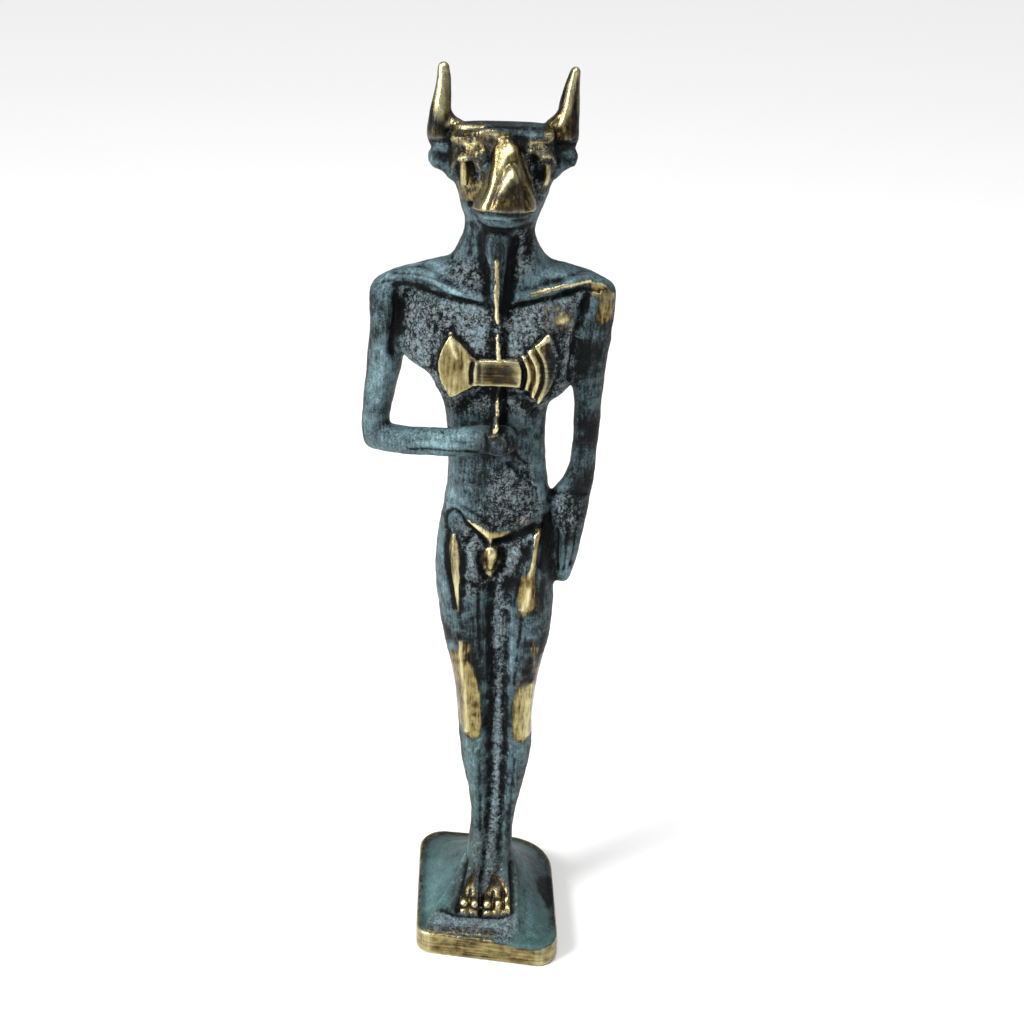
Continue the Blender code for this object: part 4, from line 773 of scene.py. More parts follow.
# The flat views that the lists above are read in: two axes, the way that the surface faces, and one
# axis with the stretch of it that counts: the bent arm's outer side, the mound and plinth, the crown
VIEWS = {
    "front": (0, 2, (0, -1, 0), (2, -math.inf, math.inf)),
    "back": (0, 2, (0, 1, 0), (2, -math.inf, math.inf)),
    "left": (1, 2, (-1, 0, 0), (0, -math.inf, -15)),
    "plan": (0, 1, (0, 0, 1), (2, -math.inf, 16)),
    "top": (0, 1, (0, 0, 1), (2, 154, math.inf)),
}


def length(name, description, default, precision=4):
    """A property for a length in metres."""
    return bpy.props.FloatProperty(
        name=name, description=description, default=default, unit="LENGTH", precision=precision
    )


def paint(name, description, default):
    """A property for a colour, given as a hex sRGB colour."""
    return bpy.props.FloatVectorProperty(
        name=name, description=description, default=linear(default), subtype="COLOR"
    )


class StatuetteSizes(bpy.types.PropertyGroup):
    """Sizes of the casting and of its skin."""

    figure_height: length("Figure Height", "From the plinth's top to the tips of the horns", 0.165)
    plinth_width: length("Plinth Width", "Width of the plinth from side to side", 0.0283)
    plinth_depth: length("Plinth Depth", "Depth of the plinth from front to back", 0.0346)
    plinth_thickness: length("Plinth Thickness", "Height of the plinth's sides", 0.0052)
    plinth_corners: bpy.props.FloatVectorProperty(
        name="Plinth Corners",
        description="Radii of the plinth's upright corners, from the rear right round to the front right",
        size=4, default=(0.0105, 0.0052, 0.0034, 0.0042), unit="LENGTH", precision=4,
    )
    plinth_bevel: length("Plinth Bevel", "Width of the softened edges of the plinth", 0.0004)
    front_skew: length("Front Skew", "How much further the plinth's front reaches on one side", 0.0030)
    rear_skew: length("Rear Skew", "How much further the plinth's rear reaches on one side", 0.0012)
    rear_shift: length("Rear Shift", "How far the plinth's rear lies to one side of its front", 0.0009)
    stand_right: length(
        "Stand Right", "How far the figure stands from the plinth's middle, sideways", -0.0003
    )
    stand_back: length(
        "Stand Back", "How far the figure stands from the plinth's middle, backwards", 0.0003
    )
    body_grain: length(
        "Body Grain", "Size of the cells in which the large masses are run together", 0.0004, 5
    )
    carving_grain: length(
        "Carving Grain", "Size of the cells in which the carving is run together", 0.00027, 5
    )
    chasing_depth: bpy.props.FloatProperty(
        name="Chasing Depth", description="Strength of the chased lines, as a share of their true depth",
        default=1.0, subtype="FACTOR",
    )
    skin_size: length(
        "Skin Size", "Size of the lumps that the mould leaves on the casting's skin", 0.0008, 5
    )
    skin_depth: length("Skin Depth", "Height of the lumps of the skin where it is roughest", 0.0008, 5)
    wave_size: length("Wave Size", "Size of the waves that modelling by hand left all over", 0.0034, 5)
    wave_depth: length("Wave Depth", "Height of these waves", 0.0006, 5)
    skin_seed: bpy.props.IntProperty(
        name="Skin Seed", description="Picks one pattern of lumps out of many", default=7,
    )
    triangles: bpy.props.IntProperty(
        name="Triangles", description="Number of triangles of the finished casting", default=192000,
    )


class BronzeFinish(bpy.types.PropertyGroup):
    """Colours of the patinated bronze, some of them also used for painted shade and painted highlights."""

    patina: paint("Patina", "Blue-green of the patina", "#456067")
    green_patina: paint("Green Patina", "Greener tone of the patina, low on the casting", "#416660")
    # Also the shaded copy of the patina, used where shade is painted
    deep_and_shaded_patina: paint("Deep Patina", "Dark blue-green of thin patina", "#223236")
    # Also the lit copy of the patina, painted light on lit ridges and slopes
    pale_and_lit_patina: paint("Pale Patina", "Thick, chalky patina on the raised parts", "#82a1a9")
    grey_patina: paint("Grey Patina", "Patina on skin left rough from the mould", "#7f8487")
    # Near black: patina left in the hollows, and also the colour of painted shade there, in creases and on
    # the flanks
    hollow: paint("Hollow", "Near black that stays in the hollows", "#0c0f10")
    bronze: paint("Bronze", "Metal that the rubbing has bared", "#96895a")
    brown_bronze: paint("Brown Bronze", "Metal that keeps some of the brown under the patina", "#43351d")
    # Near white: burnished metal, painted as bright as its highlights
    bright_bronze: paint("Bright Bronze", "Metal burnished on its edges and ridges", "#f4eab8")


class StudioStage(bpy.types.PropertyGroup):
    """The floor, the lamps and the camera."""

    floor_colour: paint("Floor Colour", "Colour of the pale floor", "#fdfcfa")
    key_strength: bpy.props.FloatProperty(
        name="Key Strength", description="Strength of the main lamp, high on the left in front",
        default=2.25,
    )
    room_strength: bpy.props.FloatProperty(
        name="Room Strength", description="Strength of the light that comes from all round", default=0.48,
    )
    floor_size: bpy.props.FloatProperty(
        name="Floor Size", description="Width of the floor", default=6.0, unit="LENGTH",
    )
    lens: bpy.props.FloatProperty(
        name="Lens", description="Focal length of the camera in millimetres, on a sensor 36 mm wide",
        default=52.73,
    )
    pitch: bpy.props.FloatProperty(
        name="Pitch", description="How far the camera looks down", default=math.radians(25),
        subtype="ANGLE",
    )
    roll: bpy.props.FloatProperty(
        name="Roll", description="How far the camera leans to one side", default=math.radians(1.5),
        subtype="ANGLE",
    )
    camera_place: bpy.props.FloatVectorProperty(
        name="Camera Place", description="Where the camera stands", default=(0.0029, -0.2500, 0.2072),
        subtype="TRANSLATION", precision=4,
    )


def placed(points, sizes):
    """Stations of the figure as metres above the plinth."""
    station = sizes.figure_height / STATIONS
    return np.asarray(points, float) * station + stand(sizes)


def stand(sizes):
    """Where the figure's own origin lies."""
    return np.array([sizes.stand_right, sizes.stand_back, sizes.plinth_thickness])


def flowing(stations, steps=4):
    """The stations with more of them between, on a smooth curve through all."""
    rows = np.array(stations, float)
    padded = np.vstack([2 * rows[0] - rows[1], rows, 2 * rows[-1] - rows[-2]])
    between = []
    for a, b, c, d in zip(padded, padded[1:], padded[2:], padded[3:]):
        for t in np.arange(steps) / steps:
            bend = (2 * a - 5 * b + 4 * c - d) * t**2 + (3 * b - a - 3 * c + d) * t**3
            between.append(b + ((c - a) * t + bend) / 2)
    return np.array(between + [rows[-1]])


def skinned(rings):
    """A closed surface over rings of points, with a flat cap at each end."""
    count, around = rings.shape[:2]
    faces = [tuple(range(around)), tuple(range((count - 1) * around, count * around))]
    for i in range(count - 1):
        for j in range(around):
            k = (j + 1) % around
            faces.append((i * around + j, i * around + k, (i + 1) * around + k, (i + 1) * around + j))
    return rings.reshape(-1, 3), faces


def column(stations, squareness=2.5, around=48):
    """A body of level slices, each between its left, right, front and back."""
    angles = np.arange(around) * 2 * math.pi / around
    cos, sin = np.cos(angles), np.sin(angles)
    wide = np.sign(cos) * np.abs(cos) ** (2 / squareness)
    deep = np.sign(sin) * np.abs(sin) ** (2 / squareness)
    rings = []
    for z, left, right, front, back in flowing(stations, 6):
        x = (left + right + (right - left) * wide) / 2
        y = (front + back + (back - front) * deep) / 2
        rings.append(np.column_stack([x, y, np.full(around, z)]))
    return skinned(np.array(rings))


def limb(stations, face=(0, -1, 0), around=28):
    """A limb with round ends, whose width lies square to the way that it faces."""
    rows = flowing(stations)
    ahead = np.gradient(rows[:, :3], axis=0)
    ahead /= np.linalg.norm(ahead, axis=1)[:, None]
    side = np.cross(ahead, face)
    side /= np.linalg.norm(side, axis=1)[:, None]
    depth = np.cross(side, ahead)
    angles = np.arange(around)[:, None] * 2 * math.pi / around
    rings = []

    def ring(i, lean):
        middle = rows[i, :3] + ahead[i] * rows[i, 3] * math.sin(lean)
        spread = side[i] * rows[i, 3] * np.cos(angles) + depth[i] * rows[i, 4] * np.sin(angles)
        rings.append(middle + spread * math.cos(lean))

    for lean in (-1.4, -1.1, -0.75, -0.35):
        ring(0, lean)
    for i in range(len(rows)):
        ring(i, 0)
    for lean in (0.35, 0.75, 1.1, 1.4):
        ring(-1, lean)
    return skinned(np.array(rings))


def lump(x, y, z, half_width, half_depth, half_height):
    """A rounded lump."""
    rings = []
    for lean in np.linspace(-1.45, 1.45, 15):
        angles = np.arange(24) * 2 * math.pi / 24
        ring_x = x + half_width * math.cos(lean) * np.cos(angles)
        ring_y = y + half_depth * math.cos(lean) * np.sin(angles)
        rings.append(np.column_stack([ring_x, ring_y, np.full(24, z + half_height * math.sin(lean))]))
    return skinned(np.array(rings))


def plinth_outline(sizes, inset=0.0):
    """The plinth's rounded outline, seen from above."""
    half_width = sizes.plinth_width / 2
    half_depth = sizes.plinth_depth / 2
    corners = [
        (half_width - sizes.rear_shift, half_depth - sizes.rear_skew / 2),
        (-half_width - sizes.rear_shift, half_depth + sizes.rear_skew / 2),
        (-half_width, -half_depth + sizes.front_skew / 2),
        (half_width, -half_depth - sizes.front_skew / 2),
    ]
    outline = []
    for i, (corner, radius) in enumerate(zip(corners, sizes.plinth_corners)):
        centre = np.array(corner) - np.sign(corner) * radius
        for step in range(13):
            angle = math.radians(90 * i + 90 * step / 12)
            outline.append(centre + (radius - inset) * np.array([math.cos(angle), math.sin(angle)]))
    return np.array(outline)


def reach_of(outline, angle):
    """How far an outline round the origin lies in one direction."""
    way = np.array([math.cos(angle), math.sin(angle)])
    best = 0.0
    for start, end in zip(outline, np.roll(outline, -1, axis=0)):
        along = end - start
        cross = way[0] * along[1] - way[1] * along[0]
        if abs(cross) < 1e-12:
            continue
        reach = (start[0] * along[1] - start[1] * along[0]) / cross
        share = (start[0] * way[1] - start[1] * way[0]) / cross
        if reach > 0 and -1e-9 <= share <= 1 + 1e-9:
            best = max(best, reach)
    return best


def mound(sizes):
    """Cast slopes from the plinth's edge up to the ankles, low in front of the toes."""
    station = sizes.figure_height / STATIONS
    edge = (plinth_outline(sizes, sizes.plinth_bevel) - stand(sizes)[:2]) / station - MOUND_CENTRE
    around = 144
    angles = np.arange(around) * 2 * math.pi / around - math.pi
    outer = np.array([reach_of(edge, angle) for angle in angles])
    inner = np.hypot(MOUND_FOOT[0] * np.cos(angles), MOUND_FOOT[1] * np.sin(angles))
    start, end = np.radians(FRONT_SECTOR)
    inside = np.clip(np.minimum(angles - start, end - angles) / SECTOR_SOFTNESS + 0.5, 0, 1)
    rise = MOUND_RISE + (FRONT_RISE - MOUND_RISE) * inside
    steep = MOUND_STEEPNESS + (FRONT_STEEPNESS - MOUND_STEEPNESS) * inside
    rings = []
    for share in (1, 1, 0.99, 0.97, 0.94, 0.9, 0.85, 0.8, 0.75, 0.7, 0.6, 0.5, 0.4, 0.3, 0.2, 0.1, 0):
        radius = inner + (outer - inner) * share
        height = rise * (1 - share) ** steep - 0.3 * share**6
        if not rings:
            height = np.full(around, MOUND_ROOT)
        x = MOUND_CENTRE[0] + radius * np.cos(angles)
        y = MOUND_CENTRE[1] + radius * np.sin(angles)
        rings.append(np.column_stack([x, y, height]))
    return skinned(np.array(rings))


def slab(outline, front, back):
    """A flat piece with a given outline in x and height."""
    rings = [[(x, y, z) for x, z in outline] for y in (front, back)]
    return skinned(np.array(rings, float))


def plinth(sizes):
    """The plinth's slab, with its edges slightly rounded."""
    levels = [
        (sizes.plinth_bevel, 0),
        (0, sizes.plinth_bevel),
        (0, sizes.plinth_thickness - sizes.plinth_bevel),
        (sizes.plinth_bevel, sizes.plinth_thickness),
    ]
    rings = []
    for inset, z in levels:
        outline = plinth_outline(sizes, inset)
        rings.append(np.column_stack([outline, np.full(len(outline), z)]))
    return skinned(np.array(rings))


def mesh_of(name, pieces):
    """One mesh of several closed surfaces, each facing out."""
    points, faces, start = [], [], 0
    for piece_points, piece_faces in pieces:
        points.extend(map(tuple, piece_points))
        faces.extend(tuple(start + i for i in face) for face in piece_faces)
        start += len(piece_points)
    mesh = bpy.data.meshes.new(name)
    mesh.from_pydata(points, [], faces)
    shape = bmesh.new()
    shape.from_mesh(mesh)
    bmesh.ops.recalc_face_normals(shape, faces=shape.faces)
    shape.to_mesh(mesh)
    shape.free()
    return mesh


def baked(obj):
    """The object's mesh as its modifiers leave it."""
    graph = bpy.context.evaluated_depsgraph_get()
    return bpy.data.meshes.new_from_object(obj.evaluated_get(graph))


def in_scene(name, mesh):
    """A new object in the scene."""
    obj = bpy.data.objects.new(name, mesh)
    bpy.context.scene.collection.objects.link(obj)
    return obj


def melted(name, mesh, grain, smoothing):
    """The mesh's pieces run together into one skin, smoothed a little."""
    obj = in_scene(name, mesh)
    remesh = obj.modifiers.new("Run together", "REMESH")
    remesh.mode = "VOXEL"
    remesh.voxel_size = grain
    smooth = obj.modifiers.new("Soften", "SMOOTH")
    smooth.factor = 0.5
    smooth.iterations = smoothing
    skin = baked(obj)
    bpy.data.objects.remove(obj)
    return skin


def masses(sizes):
    """The figure's large masses, run together."""
    pieces = [column(TRUNK), column(NECK), column(HEAD), column(LEG_CORE)]
    pieces += [column(RIGHT_LEG, 2.3), column(LEFT_LEG, 2.3)]
    pieces += [limb(path) for path in (RIGHT_SHOULDER, LEFT_SHOULDER, RIGHT_ARM, LEFT_ARM)]
    pieces += [limb(RIGHT_FOREARM), mound(sizes)]
    pieces += [limb(path, (0, 0, 1)) for path in (RIGHT_FOOT, LEFT_FOOT)]
    pieces += [lump(*lump_sizes) for lump_sizes in LUMPS]
    pieces = [(placed(points, sizes), faces) for points, faces in pieces]
    return melted("masses", mesh_of("masses", pieces), sizes.body_grain, smoothing=13)


def casting(sizes, body):
    """The masses, the carving that stands on them and the plinth, in one skin."""
    points = points_of(body)
    tree = BVHTree.FromPolygons(points.tolist(), [p.vertices[:] for p in body.polygons])
    station = sizes.figure_height / STATIONS

    def front_of(x, z):
        start = Vector(placed((x, -60, z), sizes))
        return (tree.ray_cast(start, Vector((0, 1, 0)))[0].y - sizes.stand_back) / station

    pieces = [column(MUZZLE, 3.0), limb(RIGHT_HORN), limb(LEFT_HORN)]
    pieces += [limb(root) for root in HORN_ROOTS]
    for x, y in TOES:
        knuckle, tip = (x * 0.9, y + 2.8, 3.3, 1.0, 1.1), (x, y, 2.0, 1.15, 1.3)
        pieces.append(limb([knuckle, tip], (0, 0, 1)))
    for band in BANDS:
        rows = []
        for x, z, half_width, rise in flowing(band, 4):
            rows.append((x, front_of(x, z) + 0.5, z, half_width, rise + 0.5))
        pieces.append(limb(rows))
    for outline in (AXE_RIGHT_BLADE, AXE_LEFT_BLADE, AXE_HUB):
        front = front_of(*np.mean(outline, axis=0)) - AXE_RISE
        pieces.append(slab(outline, front, front + AXE_THICKNESS))
    pieces = [(placed(piece, sizes), faces) for piece, faces in pieces]
    pieces += [plinth(sizes), (points, [p.vertices[:] for p in body.polygons])]
    return melted("casting", mesh_of("casting", pieces), sizes.carving_grain, smoothing=4)


def points_of(mesh):
    """The mesh's points as rows."""
    points = np.empty(len(mesh.vertices) * 3, np.float32)
    mesh.vertices.foreach_get("co", points)
    return points.reshape(-1, 3).astype(float)


def normals_of(mesh):
    """The way that the skin faces at each point."""
    normals = np.empty(len(mesh.vertices) * 3, np.float32)
    mesh.vertex_normals.foreach_get("vector", normals)
    return normals.reshape(-1, 3).astype(float)


def seen(points, normals, side):
    """The points as a flat view from one side shows them, and how well each is seen."""
    across, up, way, (axis, low, high) = VIEWS[side]
    counts = (points[:, axis] > low) & (points[:, axis] < high)
    return points[:, [across, up]], np.where(counts, normals @ np.array(way, float), -1)


def distance_to(flat, line, closed=False):
    """How far points of a flat view lie from a line."""
    ends = np.array(line, float)
    starts = ends[:-1]
    stops = ends[1:]
    if closed:
        starts, stops = ends, np.roll(ends, -1, axis=0)
    best = np.full(len(flat), np.inf)
    for start, stop in zip(starts, stops):
        along = stop - start
        share = np.clip((flat - start) @ along / max(along @ along, 1e-9), 0, 1)
        best = np.minimum(best, np.hypot(*(flat - start - share[:, None] * along).T))
    return best


def depth_in(flat, outline):
    """How deep points of a flat view lie in an outline, below nothing outside it."""
    ends = np.array(outline, float)
    inside = np.zeros(len(flat), bool)
    for (x, y), (next_x, next_y) in zip(ends, np.roll(ends, -1, axis=0)):
        if y == next_y:
            continue
        crossing = x + (flat[:, 1] - y) * (next_x - x) / (next_y - y)
        inside ^= ((flat[:, 1] > y) != (flat[:, 1] > next_y)) & (flat[:, 0] < crossing)
    return np.where(inside, 1, -1) * distance_to(flat, outline, closed=True)


def near(flat, line, margin):
    """The points of a flat view within a margin of a line's box."""
    low = np.min(line, axis=0) - margin
    high = np.max(line, axis=0) + margin
    return np.flatnonzero(((flat > low) & (flat < high)).all(axis=1))


def chased(mesh, sizes):
    """Presses the chased lines into the skin."""
    station = sizes.figure_height / STATIONS
    points = (points_of(mesh) - stand(sizes)) / station
    normals = normals_of(mesh)
    rise = np.zeros(len(points))
    views = {side: seen(points, normals, side) for side in VIEWS}
    for side, half_width, height, line in CHASING:
        flat, facing = views[side]
        path = flowing(line, 3)
        chosen = near(flat, path, 2 * half_width)
        away = distance_to(flat[chosen], path) / half_width
        weight = np.clip((facing[chosen] - 0.05) / 0.3, 0, 1)
        rise[chosen] += height * np.exp(-1.4 * away**2) * weight
    points += normals * (rise * sizes.chasing_depth)[:, None]
    write_points(mesh, points * station + stand(sizes))


def write_points(mesh, points):
    """Moves the mesh's points to new places."""
    mesh.vertices.foreach_set("co", points.astype(np.float32).ravel())
    mesh.update()


def write_layer(mesh, name, values):
    """Keeps a value at each point of the mesh, for the material to read."""
    layer = mesh.attributes.get(name) or mesh.attributes.new(name, "FLOAT", "POINT")
    layer.data.foreach_set("value", values.astype(np.float32))


def outlined(points, normals, patches, lines):
    """Signed distance into the patches and lines, cut off where the skin turns away."""
    views = {side: seen(points, normals, side) for side in VIEWS}
    value = np.full(len(points), -2.0)
    for side, outline in patches:
        flat, facing = views[side]
        chosen = near(flat, outline, 2)
        deep = np.minimum(depth_in(flat[chosen], outline), (facing[chosen] - 0.05) * 5)
        value[chosen] = np.maximum(value[chosen], deep)
    for side, half_width, line in lines:
        flat, facing = views[side]
        path = flowing(line, 3)
        chosen = near(flat, path, 2 + half_width)
        deep = np.minimum(half_width - distance_to(flat[chosen], path), (facing[chosen] - 0.05) * 5)
        value[chosen] = np.maximum(value[chosen], deep)
    return np.clip(value, -2, 2)


def spread_over(points, normals, patches, lines, softness):
    """A share from 0 to 1 that fades out over the edges of patches and lines."""
    return np.clip(outlined(points, normals, patches, lines) / softness + 0.5, 0, 1)


def neighbours_of(mesh):
    """The two ends of each of the mesh's edges."""
    edges = np.empty(len(mesh.edges) * 2, np.int32)
    mesh.edges.foreach_get("vertices", edges)
    return edges.reshape(-1, 2)


def blurred(values, edges, rounds):
    """Values averaged with their neighbours, several times over."""
    count = len(values)
    links = np.bincount(edges.ravel(), minlength=count).astype(float)
    values = values.reshape(count, -1).copy()
    for _ in range(rounds):
        for k in range(values.shape[1]):
            total = np.bincount(edges[:, 0], values[edges[:, 1], k], count)
            total += np.bincount(edges[:, 1], values[edges[:, 0], k], count)
            values[:, k] = (values[:, k] + total / links) / 2
    return values


# Kinds of node and settings that the two trees use often
MATH = "ShaderNodeMath"
MIX = "ShaderNodeMix"
NOISE = "ShaderNodeTexNoise"
RAMP = "ShaderNodeMapRange"
MINUS = {"operation": "SUBTRACT"}
TIMES = {"operation": "MULTIPLY"}
TIMES_PLUS = {"operation": "MULTIPLY_ADD"}
COLOURS = {"data_type": "RGBA"}


def skin_tree(material):
    """Geometry nodes that raise the lumps which a sand mould leaves on a casting."""
    tree = bpy.data.node_groups.new("Mould skin", "GeometryNodeTree")
    put = tree.interface.new_socket
    put("Geometry", in_out="INPUT", socket_type="NodeSocketGeometry")
    for name in ("Lump Size", "Lump Height", "Wave Size", "Wave Height"):
        put(name, in_out="INPUT", socket_type="NodeSocketFloat")
    put("Seed", in_out="INPUT", socket_type="NodeSocketInt")
    put("Geometry", in_out="OUTPUT", socket_type="NodeSocketGeometry")
    given = add(tree, "NodeGroupInput").outputs
    seed = given["Seed"]
    place = add(tree, "GeometryNodeInputPosition")
    # Waves of hand modelling, and over them the lumps of the sand, each centred on the cast surface
    push = 0
    for name, layer, detail, roughness in (("Wave", "uneven", 2, 0.5), ("Lump", "rough", 2.5, 0.6)):
        fineness = add(tree, MATH, {"operation": "DIVIDE"}, (1.0, given[name + " Size"]))
        pattern = {"Vector": place, "W": seed, "Scale": fineness, "Detail": detail, "Roughness": roughness}
        noise = add(tree, NOISE, {"noise_dimensions": "4D"}, pattern)
        amount = add(tree, "GeometryNodeInputNamedAttribute", {"data_type": "FLOAT"}, {"Name": layer})
        middle = add(tree, MATH, MINUS, (noise, 0.5))
        swell = add(tree, MATH, TIMES, (middle, amount))
        push = add(tree, MATH, TIMES_PLUS, (swell, given[name + " Height"], push))
    facing = add(tree, "GeometryNodeInputNormal")
    offset = add(tree, "ShaderNodeVectorMath", {"operation": "SCALE"}, {"Vector": facing, "Scale": push})
    raised = add(tree, "GeometryNodeSetPosition", {}, {"Geometry": given["Geometry"], "Offset": offset})
    real = add(tree, "GeometryNodeRealizeInstances", {}, {"Geometry": raised})
    dressed = add(tree, "GeometryNodeSetMaterial", {}, {"Geometry": real, "Material": material})
    add(tree, "NodeGroupOutput", {}, {"Geometry": dressed})
    return tree


def add(tree, kind, settings=None, inputs=None):
    """Adds a node with its settings, and links or sets its inputs, given by name or in order."""
    node = tree.nodes.new(kind)
    for name, value in (settings or {}).items():
        setattr(node, name, value)
    inputs = inputs or {}
    for key, value in inputs.items() if isinstance(inputs, dict) else enumerate(inputs):
        if isinstance(value, bpy.types.Node):
            value = next(output for output in value.outputs if output.enabled)
        if isinstance(value, bpy.types.NodeSocket):
            tree.links.new(value, node.inputs[key])
        else:
            node.inputs[key].default_value = value
    return node


def per_mm(size):
    """The scale of a texture on metres whose features are this many millimetres wide."""
    return 1000 / size


def patinated_bronze(finish):
    """Sand-cast bronze with a blue-green patina, waxed, then rubbed and filed bright on its high points.

    The patina is thin and satin, streaked by the brush, greyer and finely cracked where the skin is rough.
    The hollows keep near black, partly patina and partly painted shade, and painted shade darkens creases
    and flanks while painted light makes lit ridges and slopes paler. The bared metal is yellow, brushed,
    with brown left in its scratches, and painted near white along its ridges as their highlights.
    """
    material = bpy.data.materials.new("patinated_bronze")
    material.use_nodes = True
    tree = material.node_tree
    shader = tree.nodes["Principled BSDF"]
    shades = {
        "patina": (*finish.patina, 1),
        "green_patina": (*finish.green_patina, 1),
        "deep_and_shaded_patina": (*finish.deep_and_shaded_patina, 1),
        "pale_and_lit_patina": (*finish.pale_and_lit_patina, 1),
        "grey_patina": (*finish.grey_patina, 1),
        "hollow": (*finish.hollow, 1),
        "bronze": (*finish.bronze, 1),
        "brown_bronze": (*finish.brown_bronze, 1),
        "bright_bronze": (*finish.bright_bronze, 1),
    }
    place = add(tree, "ShaderNodeTexCoord").outputs["Object"]
    height = add(tree, "ShaderNodeSeparateXYZ", {}, (place,)).outputs["Z"]
    worn, dark, rough, pale, brown, bright = (
        add(tree, "ShaderNodeAttribute", {"attribute_name": name}).outputs["Fac"]
        for name in ("worn", "dark", "rough", "pale", "brown", "bright")
    )

    # Brush marks slant down the limbs and file marks lie level. Both are really about 0.1 mm wide, too
    # fine to show, and are drawn four times as wide
    slanting = {"Vector": place, "Rotation": (0, math.radians(28), 0), "Scale": (1, 1, 0.12)}
    slant = add(tree, "ShaderNodeMapping", {}, slanting)
    level = add(tree, "ShaderNodeMapping", {}, {"Vector": place, "Scale": (0.05, 0.05, 1)})
    # Place, width of the features in millimetres, detail and roughness
    noises = []
    for vector, width, detail, roughness in (
        (place, 8.0, 5, 0.55),
        (place, 1.8, 5, 0.60),
        (place, 1.1, 4, 0.70),
        (place, 0.30, 3, 0.70),
        (slant, 0.40, 3, 0.60),
        (level, 0.45, 3, 0.60),
    ):
        pattern = {"Vector": vector, "Scale": per_mm(width), "Detail": detail, "Roughness": roughness}
        noises.append(add(tree, NOISE, {}, pattern))
    clouds, patches, granules, grit, strokes, filing = noises
    # Cracks are the thin lines along which the granules change over, drawn coarser than the real ones
    apart = add(tree, MATH, {"operation": "ABSOLUTE"}, (add(tree, MATH, MINUS, (granules, 0.5)),))
    cracks = add(tree, RAMP, {}, (apart, 0, 0.05, 1, 0))
    # File marks cover the plinth's sides and the axe's hub, a band 6 mm high
    in_band = add(tree, MATH, {"operation": "COMPARE"}, (height, 0.1202, 0.0030))
    browned = add(tree, MATH, {"operation": "GREATER_THAN"}, (brown, 0.1))
    on_hub = add(tree, MATH, TIMES, (in_band, browned))
    on_plinth = add(tree, RAMP, {}, (height, 0.0052, 0.0049))
    filed = add(tree, MATH, {"operation": "MAXIMUM"}, (on_hub, on_plinth))
    marks = add(tree, MIX, {}, {0: filed, 2: strokes, 3: filing})

    # In the sums below, each start makes up for the patterns, which swing about 0.5. First the patina's
    # tone: 0 in the hollows and in painted shade, 1 where it is thick and pale and in painted light, calmer
    # and a little paler near the plinth
    streaks = add(tree, RAMP, {}, (marks, 0.36, 0.64, -0.5, 0.5))
    mottled = -1.30
    for mask, weight in ((clouds, 1.3), (patches, 0.9), (streaks, 0.26), (cracks, -0.14), (grit, 0.4)):
        mottled = add(tree, MATH, TIMES_PLUS, (mask, weight, mottled))
    grains = -0.92
    for mask, weight in ((cracks, -0.45), (granules, 0.5), (grit, 1.2), (patches, 0.5)):
        grains = add(tree, MATH, TIMES_PLUS, (mask, weight, grains))
    calm = add(tree, RAMP, {}, (height, 0.008, 0.022, 0.45, 1))
    tone = add(tree, RAMP, {}, (height, 0.012, 0.030, 0.55, 0.48))
    # The pale layer raises the tone with painted light; the dark layer lowers it with painted shade and the
    # black of the hollows
    for mask, weight in ((mottled, calm), (rough, grains), (pale, 0.36), (dark, -0.72)):
        tone = add(tree, MATH, TIMES_PLUS, (mask, weight, tone))

    # Bare bronze has ragged edges, dark just outside them
    ragged = add(tree, MATH, MINUS, (worn, 0.90))
    for mask, weight in ((granules, 1.1), (marks, 0.7)):
        ragged = add(tree, MATH, TIMES_PLUS, (mask, weight, ragged))
    bare = add(tree, RAMP, {}, (ragged, -0.06, 0.08))

    # The bared metal's tone: 0 where black stays in it and where shade is painted on it, 1 where it is
    # bright
    near_edge = add(tree, RAMP, {}, (worn, 0, 0.6, -0.26, 0))
    shade = add(tree, MATH, MINUS, (near_edge, 0.62))
    for mask, weight in ((marks, 1.3), (patches, 1.3), (brown, -0.36), (dark, -0.60), (filed, -0.06)):
        shade = add(tree, MATH, TIMES_PLUS, (mask, weight, shade))
    # Burnished ridges painted near white as highlights, less so where the marks are low and where the skin
    # is dark
    burnish_and_highlight = bright
    for limits in ((marks, 0.30, 0.55, 0.45, 1), (dark, 0.1, 0.6, 1, 0.1)):
        burnish_and_highlight = add(tree, MATH, TIMES, (burnish_and_highlight, add(tree, RAMP, {}, limits)))

    # Colours in layers: the one underneath, then each one with the mask that lays it over the last
    cloudy = add(tree, RAMP, {}, (clouds, 0.35, 0.6))
    low = add(tree, RAMP, {}, (height, 0.060, 0.004, 0.1, 0.9))
    green = add(tree, MATH, TIMES, (low, cloudy))
    colour = shades["patina"]
    for mask, layer in (
        (green, shades["green_patina"]),
        (add(tree, MATH, TIMES, (rough, 0.8)), shades["grey_patina"]),
    ):
        colour = add(tree, MIX, COLOURS, {0: mask, 6: colour, 7: layer})
    # The deep and pale layers are also the patina's shaded and lit copies, laid on by the tone as painted
    # shade and painted light
    skin = shades["hollow"]
    for limits, layer in (
        ((tone, 0, 0.28), shades["deep_and_shaded_patina"]),
        ((tone, 0.22, 0.58), colour),
        ((tone, 0.60, 1.05), shades["pale_and_lit_patina"]),
        ((ragged, -0.5, -0.1, 0, 0.45), shades["hollow"]),
    ):
        skin = add(tree, MIX, COLOURS, {0: add(tree, RAMP, {}, limits), 6: skin, 7: layer})
